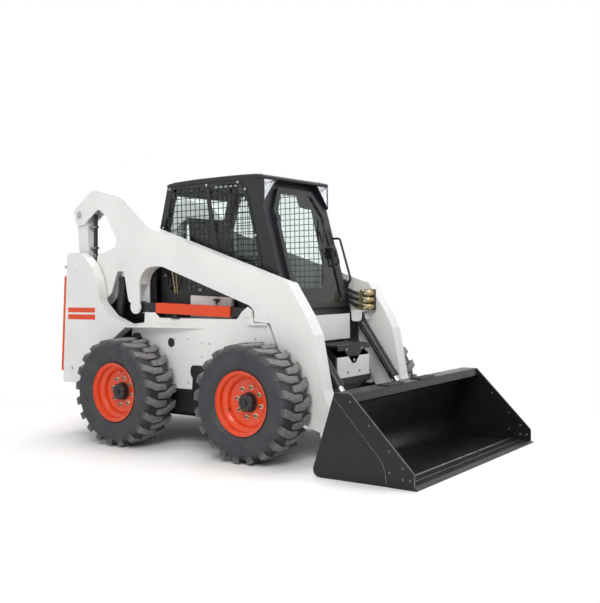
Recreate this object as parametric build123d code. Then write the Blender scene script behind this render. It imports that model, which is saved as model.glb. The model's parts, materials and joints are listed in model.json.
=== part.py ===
from build123d import *
import math
import os

# Skid steer loader with vertical-lift arms, a closed cab and a low-profile bucket.
# Millimetres. While it is drawn, x runs forward from the rear axle, y to the left of
# the middle and z up from the ground; row_frame() then sets the origin on the ground
# under the middle of the whole length.

# ---- driving sizes: the machine ----
WHEELBASE = 1270.0
TAIL = 855.0                # rear axle to the rear face of the tailgate
BUCKET_REACH = 2657.0       # rear axle to the cutting edge
BUCKET_HALF = 940.0
CAB_TOP = 2065.0

# ---- driving sizes: wheels ----
TYRE_RADIUS = 418.0         # over the lugs
TYRE_WIDTH = 300.0
TYRE_INNER = 615.0          # middle of the machine to the tyre's inner side
RIM_RADIUS = 209.0          # bead seat
RIM_FLANGE = 228.0
FLANGE_THICK = 12.0
RIM_WIDTH = 256.0
RIM_WALL = 9.0
DISC_THICK = 14.0
DISC_INSET = 118.0          # rim's outer flange to the wheel disc
HUB_RADIUS = 62.0
HUB_LENGTH = 62.0
AXLE_RADIUS = 45.0
AXLE_TUBE_RADIUS = 85.0
AXLE_TUBE_END = 655.0

# ---- driving sizes: planes across the machine, half-widths ----
ARM_INNER = 482.0
ARM_WIDTH = 118.0
ARM_PLATE = 12.0
WALL_OUTER = 470.0
WALL = 12.0
PANEL_OUTER = 590.0
PANEL_SHEET = 6.0
TOWER_INNER = 612.0
TOWER_OUTER = 700.0
TILT_PLANE = 390.0          # middle of each tilt cylinder
CAB_HALF = 424.0
CAB_WALL = 34.0
HOOD_HALF = 452.0

REAR_LOW = (-822.0, 439.0)          # (x, z) of the towers' rear edge, bottom and top
REAR_HIGH = (-740.0, 1500.0)
GATE_GAP = 6.0              # tower edge to the tailgate's inner face
GATE_BACK = 40.0            # tower edge to its outer face
GATE_HALF = 690.0
HINGE_BACK = 24.0           # tower edge to the tailgate's hinge pins
HINGE_OUT = 706.0           # y of those pins
HINGE_PIN = 8.0
HINGE_KNUCKLE = 14.0
HINGE_HEIGHTS = (640.0, 1200.0)

# ---- linkage pins, (x, z) with the arms down ----
PIN_TOWER = (-663.0, 1396.0)       # rear link on the tower
PIN_HOOK = (-689.0, 1841.0)        # rear link in the arm's hook
PIN_LUG = (-45.0, 1070.0)          # control link in the arm's lug
PIN_FRAME = (1104.0, 1031.0)       # control link on the frame
PIN_BUCKET = (1795.0, 210.0)       # bucket carrier on the arm's tip
PIN_LIFT_BASE = (-380.0, 480.0)
PIN_LIFT_EYE = (-205.0, 1440.0)
PIN_TILT_BASE = (1445.0, 968.0)
PIN_TILT_EYE = (1838.0, 400.0)
CROSS_TUBE = (1672.0, 318.0)
CROSS_TUBE_RADIUS = 38.0

# ---- pins, links and cylinders ----
PIN_RADIUS = 24.0
PIN_FIT = 0.06              # running clearance of a pin in its bore
PIN_HEAD = 36.0
HEAD_THICK = 7.0
LINK_WIDTH = 78.0
EYE_RADIUS = 56.0
REAR_LINK_HALF = 60.0
CONTROL_LINK_HALF = 35.0
CONTROL_EYE = 46.0
LIFT_BARREL_RADIUS = 38.0
LIFT_BARREL_LENGTH = 850.0
LIFT_ROD_RADIUS = 25.0
LIFT_ROD_START = 110.0      # base pin to the rod's inner end, closed
LIFT_EYE_WIDTH = 72.0
LIFT_EYE_RADIUS = 42.0
TILT_BARREL_RADIUS = 36.0
TILT_BARREL_LENGTH = 555.0
TILT_ROD_RADIUS = 22.0
TILT_ROD_START = 185.0
TILT_EYE_WIDTH = 48.0
TILT_EYE_RADIUS = 36.0
EAR_GAP = 6.0               # side clearance between an eye and its ears
EAR = 18.0

# ---- bucket ----
BUCKET_HEIGHT = 551.0
BUCKET_BACK_TOP = 2075.0    # x of the back plate's top edge
BUCKET_LEAN = 17.5          # degrees, back plate from the vertical
BUCKET_PLATE = 10.0
BUCKET_CORNER = 150.0
SIDE_PLATE = 15.0
SIDE_FRONT = 2640.0
SIDE_NOSE = 100.0
EDGE_DEPTH = 177.0
EDGE_THICK = 20.0
EDGE_HOLES = 6
EDGE_HOLE_PITCH = 304.8
EDGE_HOLE_RADIUS = 10.5
EDGE_HOLE_BACK = 95.0       # cutting edge to the row of holes
CARRIER_HALF = 640.0
CARRIER_PLATE = 14.0

# ---- front of the frame between the arms ----
NOSE_FRONT = 1637.0
GUSSET_INNER = 222.0
NOSE_PLATE = 12.0
PLATE_HOLE_Z = 579.0
PLATE_HOLE_HALF = 80.0
PLATE_HOLE_RADIUS = 13.0

# ---- cab ----
CAB_FLOOR = 985.0
CAB_REAR = 70.0
DOOR_SILL = (1356.0, 985.0)
DOOR_LEAN = 15.4            # degrees, front of the cab from the vertical
DOOR_HALF = 345.0
DOOR_THICK = 28.0
DOOR_LOW = 60.0             # sill to the door's lower edge, along the front
DOOR_HIGH = 1020.0          # sill to the door's upper edge, along the front
DOOR_RAIL = 42.0
DOOR_GAP = 6.0
GLASS = 6.0
SCREEN_WIRE = 6.0
SCREEN_PITCH = 48.0

AXLE_HEIGHT = TYRE_RADIUS
ARM_OUTER = ARM_INNER + ARM_WIDTH
LINK_MIDDLE = ARM_INNER + ARM_WIDTH / 2
TYRE_MIDDLE = TYRE_INNER + TYRE_WIDTH / 2
MIDDLE = (BUCKET_REACH - TAIL) / 2
DOOR_SLOPE = math.tan(math.radians(DOOR_LEAN))


# ---------------------------------------------------------------- helpers
def slab(rows, y_low, y_high):
    """Side profile with rows of (x, z, corner radius), from y_low to y_high."""
    points = [(x, z) for x, z, _ in rows]
    outline = FilletPolyline(*points, radius=[r for _, _, r in rows], close=True)
    side = Plane((0, y_high, 0), x_dir=(1, 0, 0), z_dir=(0, -1, 0))
    return extrude(side * make_face(outline), amount=y_high - y_low)


def box(x_low, x_high, y_low, y_high, z_low, z_high):
    middle = ((x_low + x_high) / 2, (y_low + y_high) / 2, (z_low + z_high) / 2)
    return Pos(*middle) * Box(x_high - x_low, y_high - y_low, z_high - z_low)


def disc(pin, radius, y_low, y_high):
    """Round along y at the side-view point pin."""
    middle = Pos(pin[0], (y_low + y_high) / 2, pin[1])
    return middle * Rot(90, 0, 0) * Cylinder(radius, y_high - y_low)


def bar(start, end, radius, y, first, last):
    """Round along the side-view line start-end, from first to last along it."""
    dx = end[0] - start[0]
    dz = end[1] - start[1]
    run = Plane((start[0], y, start[1]), z_dir=(dx, 0, dz))
    ends = (Align.CENTER, Align.CENTER, Align.MIN)
    return run.offset(first) * Cylinder(radius, last - first, align=ends)


def link(start, end, half, y_low, y_high):
    """Flat bar with round ends between two side-view points."""
    length = math.dist(start, end)
    turn = math.degrees(math.atan2(end[1] - start[1], end[0] - start[0]))
    middle = Pos((start[0] + end[0]) / 2, (y_low + y_high) / 2, (start[1] + end[1]) / 2)
    return middle * Rot(0, -turn, 0) * Box(length, y_high - y_low, 2 * half)


def both(shape):
    """The shape with its mirror twin on the other side of the machine."""
    return [shape, mirror(shape, about=Plane.XZ)]


def row_frame(shape):
    return Pos(-MIDDLE, 0, 0) * shape


def save(name, *shapes):
    solids = [solid for shape in shapes for solid in row_frame(shape).solids()]
    whole = solids[0] if len(solids) == 1 else Compound(children=solids)
    whole.label = name
    export_step(whole, f"parts/{name}.step")


# ---------------------------------------------------------------- wheels
def wheel_places():
    """Name, x and side of each wheel."""
    return [
        ("rear_right", 0.0, -1),
        ("rear_left", 0.0, 1),
        ("front_right", WHEELBASE, -1),
        ("front_left", WHEELBASE, 1),
    ]


def revolved(rows):
    """Ring about the wheel's axis from rows of (radius, y outward from the middle)."""
    return revolve(make_face(Polyline(*[(r, y) for r, y in rows], close=True)), Axis.Y)


def tyre():
    half = TYRE_WIDTH / 2
    bead = RIM_WIDTH / 2 - FLANGE_THICK
    flange = RIM_FLANGE + 3
    right = [
        (RIM_RADIUS, bead),
        (flange, bead),
        (flange + 14, half - 8),
        (TYRE_RADIUS * 0.72, half),
        (TYRE_RADIUS * 0.88, half - 4),
        (TYRE_RADIUS, half - 26),
    ]
    left = [(r, -y) for r, y in reversed(right)]
    return revolved(right + left)


def rim():
    half = RIM_WIDTH / 2
    inside = RIM_RADIUS - RIM_WALL
    disc_face = half - DISC_INSET
    barrel = revolved([
        (inside, half), (RIM_FLANGE, half), (RIM_FLANGE, half - FLANGE_THICK),
        (RIM_RADIUS, half - FLANGE_THICK), (RIM_RADIUS, FLANGE_THICK - half),
        (RIM_FLANGE, FLANGE_THICK - half), (RIM_FLANGE, -half), (inside, -half),
    ])
    web = revolved([
        (0, disc_face), (inside + 1, disc_face),
        (inside + 1, disc_face - DISC_THICK), (0, disc_face - DISC_THICK),
    ])
    return barrel + web


def hub():
    half = RIM_WIDTH / 2
    disc_face = half - DISC_INSET
    shaft_end = AXLE_TUBE_END - TYRE_MIDDLE - 50
    return revolved([
        (0, disc_face + HUB_LENGTH), (HUB_RADIUS - 8, disc_face + HUB_LENGTH),
        (HUB_RADIUS, disc_face + HUB_LENGTH - 8), (HUB_RADIUS, disc_face),
        (0, disc_face),
    ]), revolved([
        (0, disc_face - DISC_THICK), (HUB_RADIUS + 30, disc_face - DISC_THICK),
        (HUB_RADIUS + 30, AXLE_TUBE_END - TYRE_MIDDLE + 5),
        (AXLE_RADIUS, AXLE_TUBE_END - TYRE_MIDDLE + 5),
        (AXLE_RADIUS, shaft_end), (0, shaft_end),
    ])


def make_wheels():
    for name, x, side in wheel_places():
        turn = Rot(0, 0, 0) if side > 0 else Rot(0, 0, 180)
        place = Pos(x, side * TYRE_MIDDLE, AXLE_HEIGHT) * turn
        save(f"tyre_{name}", place * tyre())
        cap, flange = hub()
        save(f"rim_{name}", place * (rim() + cap + flange))


# ---------------------------------------------------------------- frame
def rear_edge(z, gap=0.0):
    """x of the towers' leaning rear edge at height z, gap further back."""
    rise = (z - REAR_LOW[1]) / (REAR_HIGH[1] - REAR_LOW[1])
    return REAR_LOW[0] + (REAR_HIGH[0] - REAR_LOW[0]) * rise - gap


def wall_rows():
    return [
        (rear_edge(215) + 20, 215, 40), (rear_edge(1330) + 6, 1330, 10), (-736, 1340, 0),
        (-730, 1462, 50), (-598, 1462, 50), (-560, 1346, 10), (62, 1385, 10), (62, CAB_FLOOR, 0), (1385, CAB_FLOOR, 0),
        (1385, 470, 30), (1330, 215, 60),
    ]


def chaincase():
    rows = [
        (-330, 262, 40), (-330, 425, 0), (-100, 441, 0),
        (1490, 441, 0), (1490, 340, 60), (1420, 262, 40),
    ]
    return slab(rows, WALL_OUTER, PANEL_OUTER)


def main_frame():
    inner = WALL_OUTER - WALL
    wall = slab(wall_rows(), inner, WALL_OUTER)
    sides = both(wall + chaincase() + lift_base())
    floor = box(-790, 1330, -WALL_OUTER, WALL_OUTER, 215, 227)
    cross = [
        box(-805, -770, -inner, inner, 250, 520),                  # rear bumper
        box(-560, -520, -inner, inner, 227, 330),                  # engine rails
        box(-200, -160, -inner, inner, 227, 330),
        box(22, 62, -inner, inner, 1290, 1370),                    # hood hinge rail
        box(62, 640, -inner, inner, CAB_FLOOR - 12, CAB_FLOOR),    # seat deck
        box(628, 640, -inner, inner, 560, CAB_FLOOR - 12),         # foot well's rear wall
        box(628, 1385, -inner, inner, 548, 560),                   # foot well's floor
        box(1345, 1385, -inner, inner, 930, CAB_FLOOR),            # front beam
    ]
    frame = sides[0] + sides[1] + floor
    for piece in cross:
        frame += piece
    return frame + nose()


def nose():
    """Front of the frame between the lift arms: two gussets, a beam and a ramp."""
    rows = [
        (1380, 380, 0), (1380, 800, 0), (1560, 757, 10), (1625, 700, 10),
        (1625, 500, 20), (1585, 470, 20), (1440, 300, 40), (1380, 300, 0),
    ]
    gussets = both(slab(rows, GUSSET_INNER, GUSSET_INNER + WALL))
    ramp = slab([(1300, 215, 0), (1300, 227, 0), (1420, 290, 0), (1590, 490, 0),
                 (1640, 500, 0), (1640, 545, 0), (1628, 545, 0), (1628, 512, 0),
                 (1580, 502, 0), (1405, 298, 0), (1290, 240, 0)], -234, 234)
    shelf = box(1373, 1385, -470, 470, 300, 930)
    return gussets[0] + gussets[1] + ramp + shelf + slab(
        [(1320, 215, 0), (1385, 300, 0), (1385, 330, 0), (1320, 227, 0)], -470, 470)


def lift_base():
    """Ear on the wall for the lift cylinder's foot, with its pin."""
    eye_low = LINK_MIDDLE - LIFT_EYE_WIDTH / 2
    ear = disc(PIN_LIFT_BASE, LIFT_EYE_RADIUS, WALL_OUTER - 1, eye_low - 3)
    pin = disc(PIN_LIFT_BASE, PIN_RADIUS, WALL_OUTER, ARM_OUTER)
    return ear + pin


def panel_body_rows():
    return [
        (-99, 443, 0), (-99, 931, 15), (42, 945, 15), (60, 984, 10), (1000, 984, 20),
        (1050, 1040, 20), (1104, 1077, 0), (1146, 1050, 0), (1150, 990, 15),
        (1160, 955, 8), (1288, 955, 20), (1500, 443, 0),
    ]


def side_panel():
    """White body side over the chain case, with the control link's pocket and boss."""
    body = slab(panel_body_rows(), WALL_OUTER, PANEL_OUTER)
    sheet = slab([(40, 900, 0), (52, 1027, 8), (160, 1027, 20), (232, 970, 20), (240, 900, 0)],
                 PANEL_OUTER - PANEL_SHEET, PANEL_OUTER)
    link_low = LINK_MIDDLE - LINK_WIDTH / 2 - EAR_GAP
    link_high = PANEL_OUTER - PANEL_SHEET
    pocket = disc(PIN_FRAME, CONTROL_EYE + 8, link_low, link_high)
    slot = slab([(900, 990, 0), (900, 1200, 0), (1200, 1200, 0), (1200, 1031, 0),
                 (1104, 977, 0), (1000, 980, 0)], link_low, link_high)
    pin = disc(PIN_FRAME, PIN_RADIUS, WALL_OUTER, PANEL_OUTER)
    head = disc(PIN_FRAME, PIN_HEAD, PANEL_OUTER, PANEL_OUTER + HEAD_THICK)
    port = disc((336, 795), 28, PANEL_OUTER - 40, PANEL_OUTER + 1)
    stop = box(1112, 1290, PANEL_OUTER, PANEL_OUTER + 20, 945, 961)
    return body + sheet - pocket - slot - port + pin + head + stop


def tower_rows():
    return [
        (rear_edge(439), 439, 12), (rear_edge(1500), 1519, 40), (-600, 1519, 60),
        (-518, 1475, 40), (-443, 1403, 60), (-385, 1290, 120), (-352, 1110, 80),
        (-227, 998, 120), (-47, 936, 8), (-47, 921, 4), (-187, 826, 30), (-430, 439, 0),
    ]


def rear_tower():
    """Outer upright with its foot box, rear fender and the rear link's pin."""
    arch = disc((0, AXLE_HEIGHT), TYRE_RADIUS + 32, TOWER_INNER - 5, TOWER_OUTER + 5)
    outer = slab(tower_rows(), TOWER_INNER, TOWER_OUTER) - arch
    foot = slab([(rear_edge(445) + 1, 445, 10), (rear_edge(1290) + 1, 1290, 10),
                 (-560, 1290, 60), (-545, 445, 0)], WALL_OUTER, TOWER_INNER)
    ear = slab([(-560, 438, 10), (-560, 560, 10), (PIN_LIFT_BASE[0] + 30, 522, 20),
                (PIN_LIFT_BASE[0] + 42, 438, 20)], 584, ARM_OUTER)
    pin = disc(PIN_TOWER, PIN_RADIUS, WALL_OUTER, TOWER_OUTER)
    head = disc(PIN_TOWER, PIN_HEAD, TOWER_OUTER, TOWER_OUTER + HEAD_THICK)
    base_pin = disc(PIN_LIFT_BASE, PIN_RADIUS + PIN_FIT, 580, ARM_OUTER + 1)
    tail = Polygon((-120, PANEL_OUTER), (-120, TOWER_OUTER), (-40, TOWER_OUTER),
                   (700, PANEL_OUTER + 2), (700, PANEL_OUTER), align=None)
    fender = extrude(Pos(0, 0, 923) * tail, amount=12)
    return outer + foot + (ear - base_pin) + pin + head + fender


def hinge_bar(z, reach, radius):
    """Round on the tailgate's hinge line, reaching up and down from height z."""
    low = (rear_edge(z - reach, HINGE_BACK), z - reach)
    high = (rear_edge(z + reach, HINGE_BACK), z + reach)
    return bar(low, high, radius, HINGE_OUT, 0, math.dist(low, high))


def gate_brackets():
    """Hinge pins of the tailgate, each held by two plates on the left upright."""
    shape = Part()
    for z in HINGE_HEIGHTS:
        shape += hinge_bar(z, 38, HINGE_PIN)
        for level in (z - 30, z + 30):
            x = rear_edge(level)
            shape += box(x - HINGE_BACK - HINGE_PIN, x + 40, TOWER_OUTER - 2,
                         HINGE_OUT + HINGE_PIN, level - 8, level + 8)
    return shape


def axle_tubes():
    tubes = []
    for _, x, side in wheel_places():
        low, high = sorted((side * PANEL_OUTER, side * AXLE_TUBE_END))
        centre = (x, AXLE_HEIGHT)
        tube = disc(centre, AXLE_TUBE_RADIUS, low, high)
        tubes.append(tube - disc(centre, AXLE_RADIUS + PIN_FIT, low - 1, high + 1))
    return tubes


def front_panels():
    upper = slab([(1385, 805, 0), (1385, 1000, 0), (1397, 1000, 0), (1397, 805, 0)], -325, 325)
    back = NOSE_FRONT - NOSE_PLATE
    plate = box(back, NOSE_FRONT, -216, 216, 545, 697)
    for side in (-PLATE_HOLE_HALF, PLATE_HOLE_HALF):
        hole = Rot(0, 90, 0) * Cylinder(PLATE_HOLE_RADIUS, 99)
        plate -= Pos(NOSE_FRONT, side, PLATE_HOLE_Z) * hole
    return upper, plate


def front_step():
    half = GUSSET_INNER
    tread = box(1385, 1640, -half, half, 768, 786)
    lip = box(1632, 1640, -half, half, 745, 768)
    bracket = slab([(1560, 768, 0), (1632, 768, 0), (1606, 697, 0), (1590, 697, 0)], -60, 60)
    return tread + lip + bracket


def engine_block():
    return box(-620, -130, -290, 290, 330, 1010)


def engine_cover():
    """Louvred hood between the towers, hinged on the rail behind the cab."""
    rows = [(-742, 1318, 6), (-742, 1345, 12), (40, 1402, 12), (40, 1372, 6)]
    hood = slab(rows, -HOOD_HALF, HOOD_HALF)
    louvre = range(-640, -60, 58)
    for x in louvre:
        hood -= box(x, x + 26, -HOOD_HALF + 60, -24, 1250, 1500)
        hood -= box(x, x + 26, 24, HOOD_HALF - 60, 1250, 1500)
    return hood


def tailgate():
    rows = [
        (-TAIL, 533, 0), (rear_edge(1329, GATE_BACK), 1329, 16),
        (rear_edge(1329, GATE_GAP), 1329, 0), (rear_edge(533, GATE_GAP), 533, 0),
    ]
    gate = slab(rows, -GATE_HALF, GATE_HALF)
    for z in HINGE_HEIGHTS:
        x = rear_edge(z, HINGE_BACK)
        gate += box(x - 12, x + 12, GATE_HALF - 2, HINGE_OUT, z - 18, z + 18)
        gate += hinge_bar(z, 20, HINGE_KNUCKLE)
        gate -= hinge_bar(z, 60, HINGE_PIN + PIN_FIT)
    return gate


def service_cover():
    return slab([(434, CAB_FLOOR, 0), (434, 1160, 12), (851, 1140, 12), (851, CAB_FLOOR, 0)],
                -WALL_OUTER, -WALL_OUTER + 30)


# ---------------------------------------------------------------- lift arms
def arm_rows():
    """Arm from the hook over the top to the front leg, and back along the underside."""
    return [
        (-778, 1880, 45), (-530, 2042, 120), (-190, 1960, 250), (120, 1695, 250),
        (1440, 1252, 20), (1474, 1246, 12), (1628, 1012, 30), (1692, 884, 40),
        (1762, 504, 60), (1850, 290, 40), (1857, 215, 10), (1738, 215, 10),
        (1603, 262, 25), (1312, 962, 30), (1172, 968, 12), (1168, 1050, 25),
        (1128, 1086, 25), (250, 1388, 120), (4, 1388, 150), (4, 1100, 0),
        (-98, 1100, 0), (-128, 1137, 40), (-168, 1356, 25), (-250, 1358, 25),
        (-320, 1185, 60), (-440, 1085, 12), (-476, 1085, 12), (-478, 1300, 80),
        (-495, 1440, 30), (-470, 1512, 20), (-400, 1512, 50), (-222, 1576, 60),
        (-375, 1818, 120), (-466, 1880, 45), (-600, 1790, 40), (-640, 1752, 40),
        (-735, 1752, 40),
    ]


def fork_rows():
    """Space between the arm's two rear plates, closed only by the top strip."""
    return [
        (-900, 950, 0), (-900, 1910, 0), (-700, 1924, 0), (-527, 2028, 110),
        (-192, 1947, 240), (-60, 1830, 0), (-60, 1250, 0), (60, 1250, 0), (60, 950, 0),
    ]


def arm():
    """Left lift arm: a box beam whose rear end is a fork of two plates."""
    inner = ARM_INNER
    outer = ARM_OUTER
    body = slab(arm_rows(), inner, outer)
    body += disc(PIN_LUG, 56, inner, outer)
    body += disc(PIN_BUCKET, 62, inner, outer)
    body -= slab(fork_rows(), inner + ARM_PLATE, outer - ARM_PLATE)
    body -= disc(PIN_BUCKET, PIN_RADIUS + PIN_FIT, inner - 1, outer + 1)
    body += disc(PIN_LUG, PIN_RADIUS, inner, outer)
    for pin in (PIN_HOOK, PIN_LUG, PIN_LIFT_EYE):
        body += disc(pin, PIN_HEAD, outer, outer + HEAD_THICK)
        if pin is not PIN_LIFT_EYE:
            body += disc(pin, PIN_HEAD, inner - 5, inner)
    return body + tilt_bracket()


def tilt_bracket():
    """Boss, inner ear and strap that carry the tilt cylinder's base pin."""
    x, z = PIN_TILT_BASE
    eye_low = TILT_PLANE - TILT_EYE_WIDTH / 2
    eye_high = TILT_PLANE + TILT_EYE_WIDTH / 2
    ear_low = eye_low - EAR_GAP - EAR
    top = z + TILT_EYE_RADIUS + 20
    ear = slab([(x - 46, top, 0), (x + 46, top, 0), (x + 40, z - 30, 20), (x - 40, z - 30, 20)],
               ear_low, eye_low - EAR_GAP)
    strap = box(x - 46, x + 46, ear_low, ARM_INNER, top - 12, top)
    boss = disc(PIN_TILT_BASE, 40, eye_high + EAR_GAP, ARM_INNER)
    pin = disc(PIN_TILT_BASE, PIN_RADIUS, ear_low, ARM_INNER)
    return ear + strap + boss + pin


def cross_tube():
    return disc(CROSS_TUBE, CROSS_TUBE_RADIUS, -ARM_INNER, ARM_INNER)


def rear_link():
    low = LINK_MIDDLE - LINK_WIDTH / 2
    high = LINK_MIDDLE + LINK_WIDTH / 2
    shape = link(PIN_TOWER, PIN_HOOK, REAR_LINK_HALF, low, high)
    shape += disc(PIN_TOWER, REAR_LINK_HALF, low, high)
    shape += disc(PIN_HOOK, EYE_RADIUS, low, high)
    return shape - disc(PIN_TOWER, PIN_RADIUS + PIN_FIT, low - 1, high + 1)


def control_link():
    low = LINK_MIDDLE - LINK_WIDTH / 2
    high = LINK_MIDDLE + LINK_WIDTH / 2
    shape = link(PIN_LUG, PIN_FRAME, CONTROL_LINK_HALF, low + 6, high - 6)
    for pin in (PIN_LUG, PIN_FRAME):
        shape += disc(pin, CONTROL_EYE, low, high)
    for pin in (PIN_LUG, PIN_FRAME):
        shape -= disc(pin, PIN_RADIUS + PIN_FIT, low - 1, high + 1)
    return shape


def along_control_link(distance, offset):
    """Side-view point at a distance from the lug pin, offset upward from the link."""
    length = math.dist(PIN_LUG, PIN_FRAME)
    ux = (PIN_FRAME[0] - PIN_LUG[0]) / length
    uz = (PIN_FRAME[1] - PIN_LUG[1]) / length
    return PIN_LUG[0] + ux * distance - uz * offset, PIN_LUG[1] + uz * distance + ux * offset


def arm_support():
    """Orange channel that props the raised arms, stowed over the right control link."""
    start = 215.0
    end = 975.0
    half = CONTROL_LINK_HALF + 5
    web_low = -(LINK_MIDDLE + LINK_WIDTH / 2 + 7)
    web_high = -(LINK_MIDDLE + LINK_WIDTH / 2 - 6)
    corners = [(start, -half), (start, half), (end, half), (end, -half)]
    rows = [(*along_control_link(d, o), 0) for d, o in corners]
    web = slab(rows, web_low, web_high)
    return web


def lift_barrel():
    eye_low = LINK_MIDDLE - LIFT_EYE_WIDTH / 2
    eye_high = LINK_MIDDLE + LIFT_EYE_WIDTH / 2
    shape = bar(PIN_LIFT_BASE, PIN_LIFT_EYE, LIFT_BARREL_RADIUS, LINK_MIDDLE,
                20, LIFT_BARREL_LENGTH)
    shape += disc(PIN_LIFT_BASE, LIFT_EYE_RADIUS, eye_low, eye_high)
    shape -= disc(PIN_LIFT_BASE, PIN_RADIUS + PIN_FIT, eye_low - 9, eye_high + 9)
    return shape - bar(PIN_LIFT_BASE, PIN_LIFT_EYE, LIFT_ROD_RADIUS + PIN_FIT, LINK_MIDDLE,
                       LIFT_ROD_START - 15, LIFT_BARREL_LENGTH + 1)


def lift_rod():
    eye_low = LINK_MIDDLE - LIFT_EYE_WIDTH / 2
    eye_high = LINK_MIDDLE + LIFT_EYE_WIDTH / 2
    shape = bar(PIN_LIFT_BASE, PIN_LIFT_EYE, LIFT_ROD_RADIUS, LINK_MIDDLE,
                LIFT_ROD_START, math.dist(PIN_LIFT_BASE, PIN_LIFT_EYE) - 10)
    return shape + disc(PIN_LIFT_EYE, LIFT_EYE_RADIUS, eye_low, eye_high)


def tilt_barrel():
    eye_low = TILT_PLANE - TILT_EYE_WIDTH / 2
    eye_high = TILT_PLANE + TILT_EYE_WIDTH / 2
    shape = bar(PIN_TILT_BASE, PIN_TILT_EYE, TILT_BARREL_RADIUS, TILT_PLANE,
                55, TILT_BARREL_LENGTH)
    shape += link(PIN_TILT_BASE, point_on(PIN_TILT_BASE, PIN_TILT_EYE, 70), 30,
                  eye_low, eye_high)
    shape += disc(PIN_TILT_BASE, TILT_EYE_RADIUS, eye_low, eye_high)
    shape -= disc(PIN_TILT_BASE, PIN_RADIUS + PIN_FIT, eye_low - 9, eye_high + 9)
    return shape - bar(PIN_TILT_BASE, PIN_TILT_EYE, TILT_ROD_RADIUS + PIN_FIT, TILT_PLANE,
                       TILT_ROD_START - 95, TILT_BARREL_LENGTH + 1)


def tilt_rod():
    eye_low = TILT_PLANE - TILT_EYE_WIDTH / 2
    eye_high = TILT_PLANE + TILT_EYE_WIDTH / 2
    shape = bar(PIN_TILT_BASE, PIN_TILT_EYE, TILT_ROD_RADIUS, TILT_PLANE,
                TILT_ROD_START, math.dist(PIN_TILT_BASE, PIN_TILT_EYE) - 10)
    return shape + disc(PIN_TILT_EYE, TILT_EYE_RADIUS, eye_low, eye_high)


def point_on(start, end, distance):
    share = distance / math.dist(start, end)
    return (start[0] + (end[0] - start[0]) * share, start[1] + (end[1] - start[1]) * share)


# ---------------------------------------------------------------- bucket
def back_x(z, offset=0.0):
    """x of the bucket's back plate at height z, offset along its normal to the rear."""
    lean = math.radians(BUCKET_LEAN)
    return BUCKET_BACK_TOP - (BUCKET_HEIGHT - z) * math.tan(lean) - offset / math.cos(lean)


def bucket_shell():
    front = BUCKET_REACH - EDGE_DEPTH
    t = BUCKET_PLATE
    rows = [
        (front, 0, 0), (back_x(0), 0, BUCKET_CORNER), (BUCKET_BACK_TOP, BUCKET_HEIGHT, 0),
        (back_x(BUCKET_HEIGHT, -t), BUCKET_HEIGHT, 0), (back_x(t, -t), t, BUCKET_CORNER - t),
        (front, t, 0),
    ]
    half = BUCKET_HALF - SIDE_PLATE
    shell = slab(rows, -half, half)
    tube = slab([(back_x(BUCKET_HEIGHT, -1), BUCKET_HEIGHT, 0), (2194, BUCKET_HEIGHT, 8),
                 (2216, 494, 8), (back_x(440, -1), 440, 0)], -half, half)
    return shell + tube


def bucket_side():
    front = BUCKET_REACH - EDGE_DEPTH
    rows = [
        (front, 0, 0), (back_x(0), 0, 60), (BUCKET_BACK_TOP, BUCKET_HEIGHT, 6),
        (2200, BUCKET_HEIGHT, 10), (SIDE_FRONT, SIDE_NOSE, 6), (SIDE_FRONT, EDGE_THICK, 0),
        (front, EDGE_THICK, 0),
    ]
    return slab(rows, BUCKET_HALF - SIDE_PLATE, BUCKET_HALF)


def cutting_edge():
    front = BUCKET_REACH - EDGE_DEPTH
    rows = [
        (front, 0, 0), (front, EDGE_THICK, 0), (BUCKET_REACH - 30, EDGE_THICK, 0),
        (BUCKET_REACH, 6, 0), (BUCKET_REACH, 0, 0),
    ]
    edge = slab(rows, -BUCKET_HALF, BUCKET_HALF)
    for place in range(EDGE_HOLES):
        y = (place - (EDGE_HOLES - 1) / 2) * EDGE_HOLE_PITCH
        edge -= Pos(BUCKET_REACH - EDGE_HOLE_BACK, y, 0) * Cylinder(EDGE_HOLE_RADIUS, 99)
    return edge


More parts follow.
